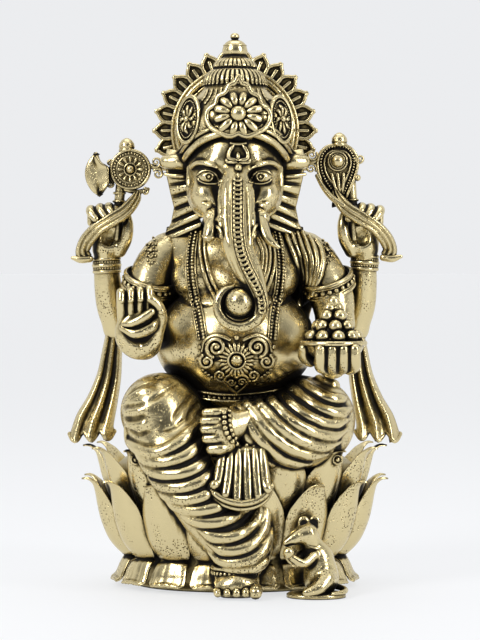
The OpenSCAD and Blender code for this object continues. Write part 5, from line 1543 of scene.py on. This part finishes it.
def paint_patina_and_shade():
    """Paints patina and painted shade into every piece's recesses, in the point attribute 'cavity': how much
    metal stands round each point.

    The metal is drawn in a grid of cells, and looked at from just off the surface at three scales.
    """
    p = np.vstack([point_values(piece.data, "co") * 1000 for piece, _, _ in made_pieces])
    n = np.vstack([point_values(piece.data, "normal") for piece, _, _ in made_pieces])
    thin = np.concatenate([depth for _, depth, _ in made_pieces])
    low = p.min(0) - 8
    full = np.zeros(np.ceil((p.max(0) + 8 - low) / GRID_CELL).astype(int) + 1, np.float32)
    for depth in (0.3, 1.0, 1.8, 2.6):
        at = ((p - n * np.minimum(depth, thin)[:, None] - low) / GRID_CELL + 0.5).astype(int)
        full[at[:, 0], at[:, 1], at[:, 2]] = 1
    closed = -OPEN_GROUND
    for reaches, height, weight in OCCLUSION_SCALES:
        spread = full
        for reach in reaches:
            spread = blurred(spread, reach)
        closed = closed + weight * between(spread, (p + n * height - low) / GRID_CELL)
    start = 0
    for piece, _, patina_shade_scale in made_pieces:
        mesh = piece.data
        span = len(mesh.vertices)
        edges = np.zeros(len(mesh.edges) * 2, np.int32)
        mesh.edges.foreach_get("vertices", edges)
        a, b = edges.reshape(-1, 2).T
        here, normal = p[start:start + span], n[start:start + span]
        along = here[b] - here[a]
        square = np.maximum(np.einsum("ij,ij->i", along, along), 1e-4)
        bend = np.einsum("ij,ij->i", along, normal[a] - normal[b]) / square
        count = np.maximum(np.bincount(a, minlength=span) + np.bincount(b, minlength=span), 1)
        amount = (np.bincount(a, bend, span) + np.bincount(b, bend, span)) / count
        for _ in range(2):
            amount = 0.5 * amount + 0.5 * (np.bincount(a, amount[b], span)
                                           + np.bincount(b, amount[a], span)) / count
        # Painted shade and patina: darker where metal closes round the point or the surface bends inward,
        # lighter on bulges, times the piece's own amount.
        value = np.clip(patina_shade_scale * closed[start:start + span] + BEND_WEIGHT * np.clip(amount, -0.5, 1.2), 0, 1)
        made = mesh.attributes.new("cavity", "FLOAT", "POINT")
        made.data.foreach_set("value", value.astype(np.float32))
        start += span


paint_patina_and_shade()

for node_name, node_object in frame["nodes"].items():
    node_object.data.materials.clear()
    slot_name = next(s["material_slot"] for s in frame["record"]["subparts"] if s["node"] == node_name)
    node_object.data.materials.append(FINISH[slot_name])


# ---- camera, light and floor ------------------------------------------------------------------

# Metres and millimetres of lens: a level camera in front, with the frame moved down onto the idol.
LENS = 142
CAMERA_AWAY = 1.1
CAMERA_HEIGHT = 0.140
FRAME_SHIFT = -0.0905
camera = bpy.data.objects.new("camera", bpy.data.cameras.new("camera"))
bpy.context.scene.collection.objects.link(camera)
bpy.context.scene.camera = camera
camera.data.lens = LENS
camera.data.sensor_width = 36
camera.location = (SHIFT[0] / 1000 + 0.0022, SHIFT[1] / 1000 - CAMERA_AWAY, CAMERA_HEIGHT)
camera.rotation_euler = (math.radians(90), 0, 0)
camera.data.shift_y = FRAME_SHIFT

FLOOR_RADIUS = 30
floor_mesh = bpy.data.meshes.new("floor")
turns = np.arange(64) * TAU / 64
floor_mesh.from_pydata([(FLOOR_RADIUS * math.cos(a), FLOOR_RADIUS * math.sin(a), 0) for a in turns], [],
                       [list(range(len(turns)))])
floor = bpy.data.objects.new("floor", floor_mesh)
bpy.context.scene.collection.objects.link(floor)
pale = bpy.data.materials.new("pale_floor")
pale.use_nodes = True
pale_shader = pale.node_tree.nodes["Principled BSDF"]
pale_shader.inputs["Base Color"].default_value = (0.20, 0.202, 0.207, 1)
pale_shader.inputs["Specular IOR Level"].default_value = 0.1
pale_shader.inputs["Emission Color"].default_value = (0.975, 0.985, 1.0, 1)
pale_shader.inputs["Emission Strength"].default_value = 0.67
pale_shader.inputs["Roughness"].default_value = 0.65
floor_mesh.materials.append(pale)

world = bpy.data.worlds.new("studio")
bpy.context.scene.world = world
world.use_nodes = True
sky = world.node_tree
background = sky.nodes["Background"]
where = sky.nodes.new("ShaderNodeTexCoord")
split = sky.nodes.new("ShaderNodeSeparateXYZ")
sky.links.new(where.outputs["Generated"], split.inputs[0])


def map_range(source, low, high, smooth=False):
    made = sky.nodes.new("ShaderNodeMapRange")
    made.inputs["From Min"].default_value = low
    made.inputs["From Max"].default_value = high
    if smooth:
        made.interpolation_type = "SMOOTHSTEP"
    sky.links.new(source, made.inputs["Value"])
    return made.outputs[0]


def sky_math(operation, *sources):
    made = sky.nodes.new("ShaderNodeMath")
    made.operation = operation
    for source, socket in zip(sources, made.inputs):
        sky.links.new(source, socket)
    return made.outputs[0]


# The room is dark on the camera's side, and pale behind, overhead and at the level of the floor's far edge.
behind = map_range(split.outputs["Y"], -0.35, 0.35, True)
overhead = map_range(split.outputs["Z"], 0.45, 0.9, True)
skyline = map_range(sky_math("ABSOLUTE", split.outputs["Z"]), 0.24, 0.17)
skyline = sky_math("MULTIPLY", map_range(split.outputs["Y"], -0.34, -0.12), skyline)
pale_part = sky_math("MAXIMUM", sky_math("MAXIMUM", behind, overhead), skyline)
tones = sky.nodes.new("ShaderNodeValToRGB")
tones.color_ramp.elements[0].color = (0.07, 0.072, 0.076, 1)
tones.color_ramp.elements[1].color = (0.93, 0.94, 0.96, 1)
sky.links.new(pale_part, tones.inputs[0])
sky.links.new(tones.outputs[0], background.inputs["Color"])
background.inputs["Strength"].default_value = 0.9


AIM = (0, 0, 0.12)


def soft_light(name, place, size, power):
    """A rectangular light at place, aimed at the idol's middle."""
    data = bpy.data.lights.new(name, "AREA")
    data.shape = "RECTANGLE"
    data.size, data.size_y = size
    data.energy = power
    light = bpy.data.objects.new(name, data)
    bpy.context.scene.collection.objects.link(light)
    light.location = place
    light.rotation_euler = (Vector(AIM) - Vector(place)).to_track_quat("-Z", "Y").to_euler()


soft_light("key_left", (-0.75, -0.75, 0.75), (0.34, 0.6), 9.5)
soft_light("fill_right", (0.8, -0.6, 0.5), (0.2, 0.7), 5.6)
soft_light("top", (0.0, 0.1, 1.1), (0.7, 0.5), 2.4)

bpy.context.scene.view_settings.view_transform = "Standard"
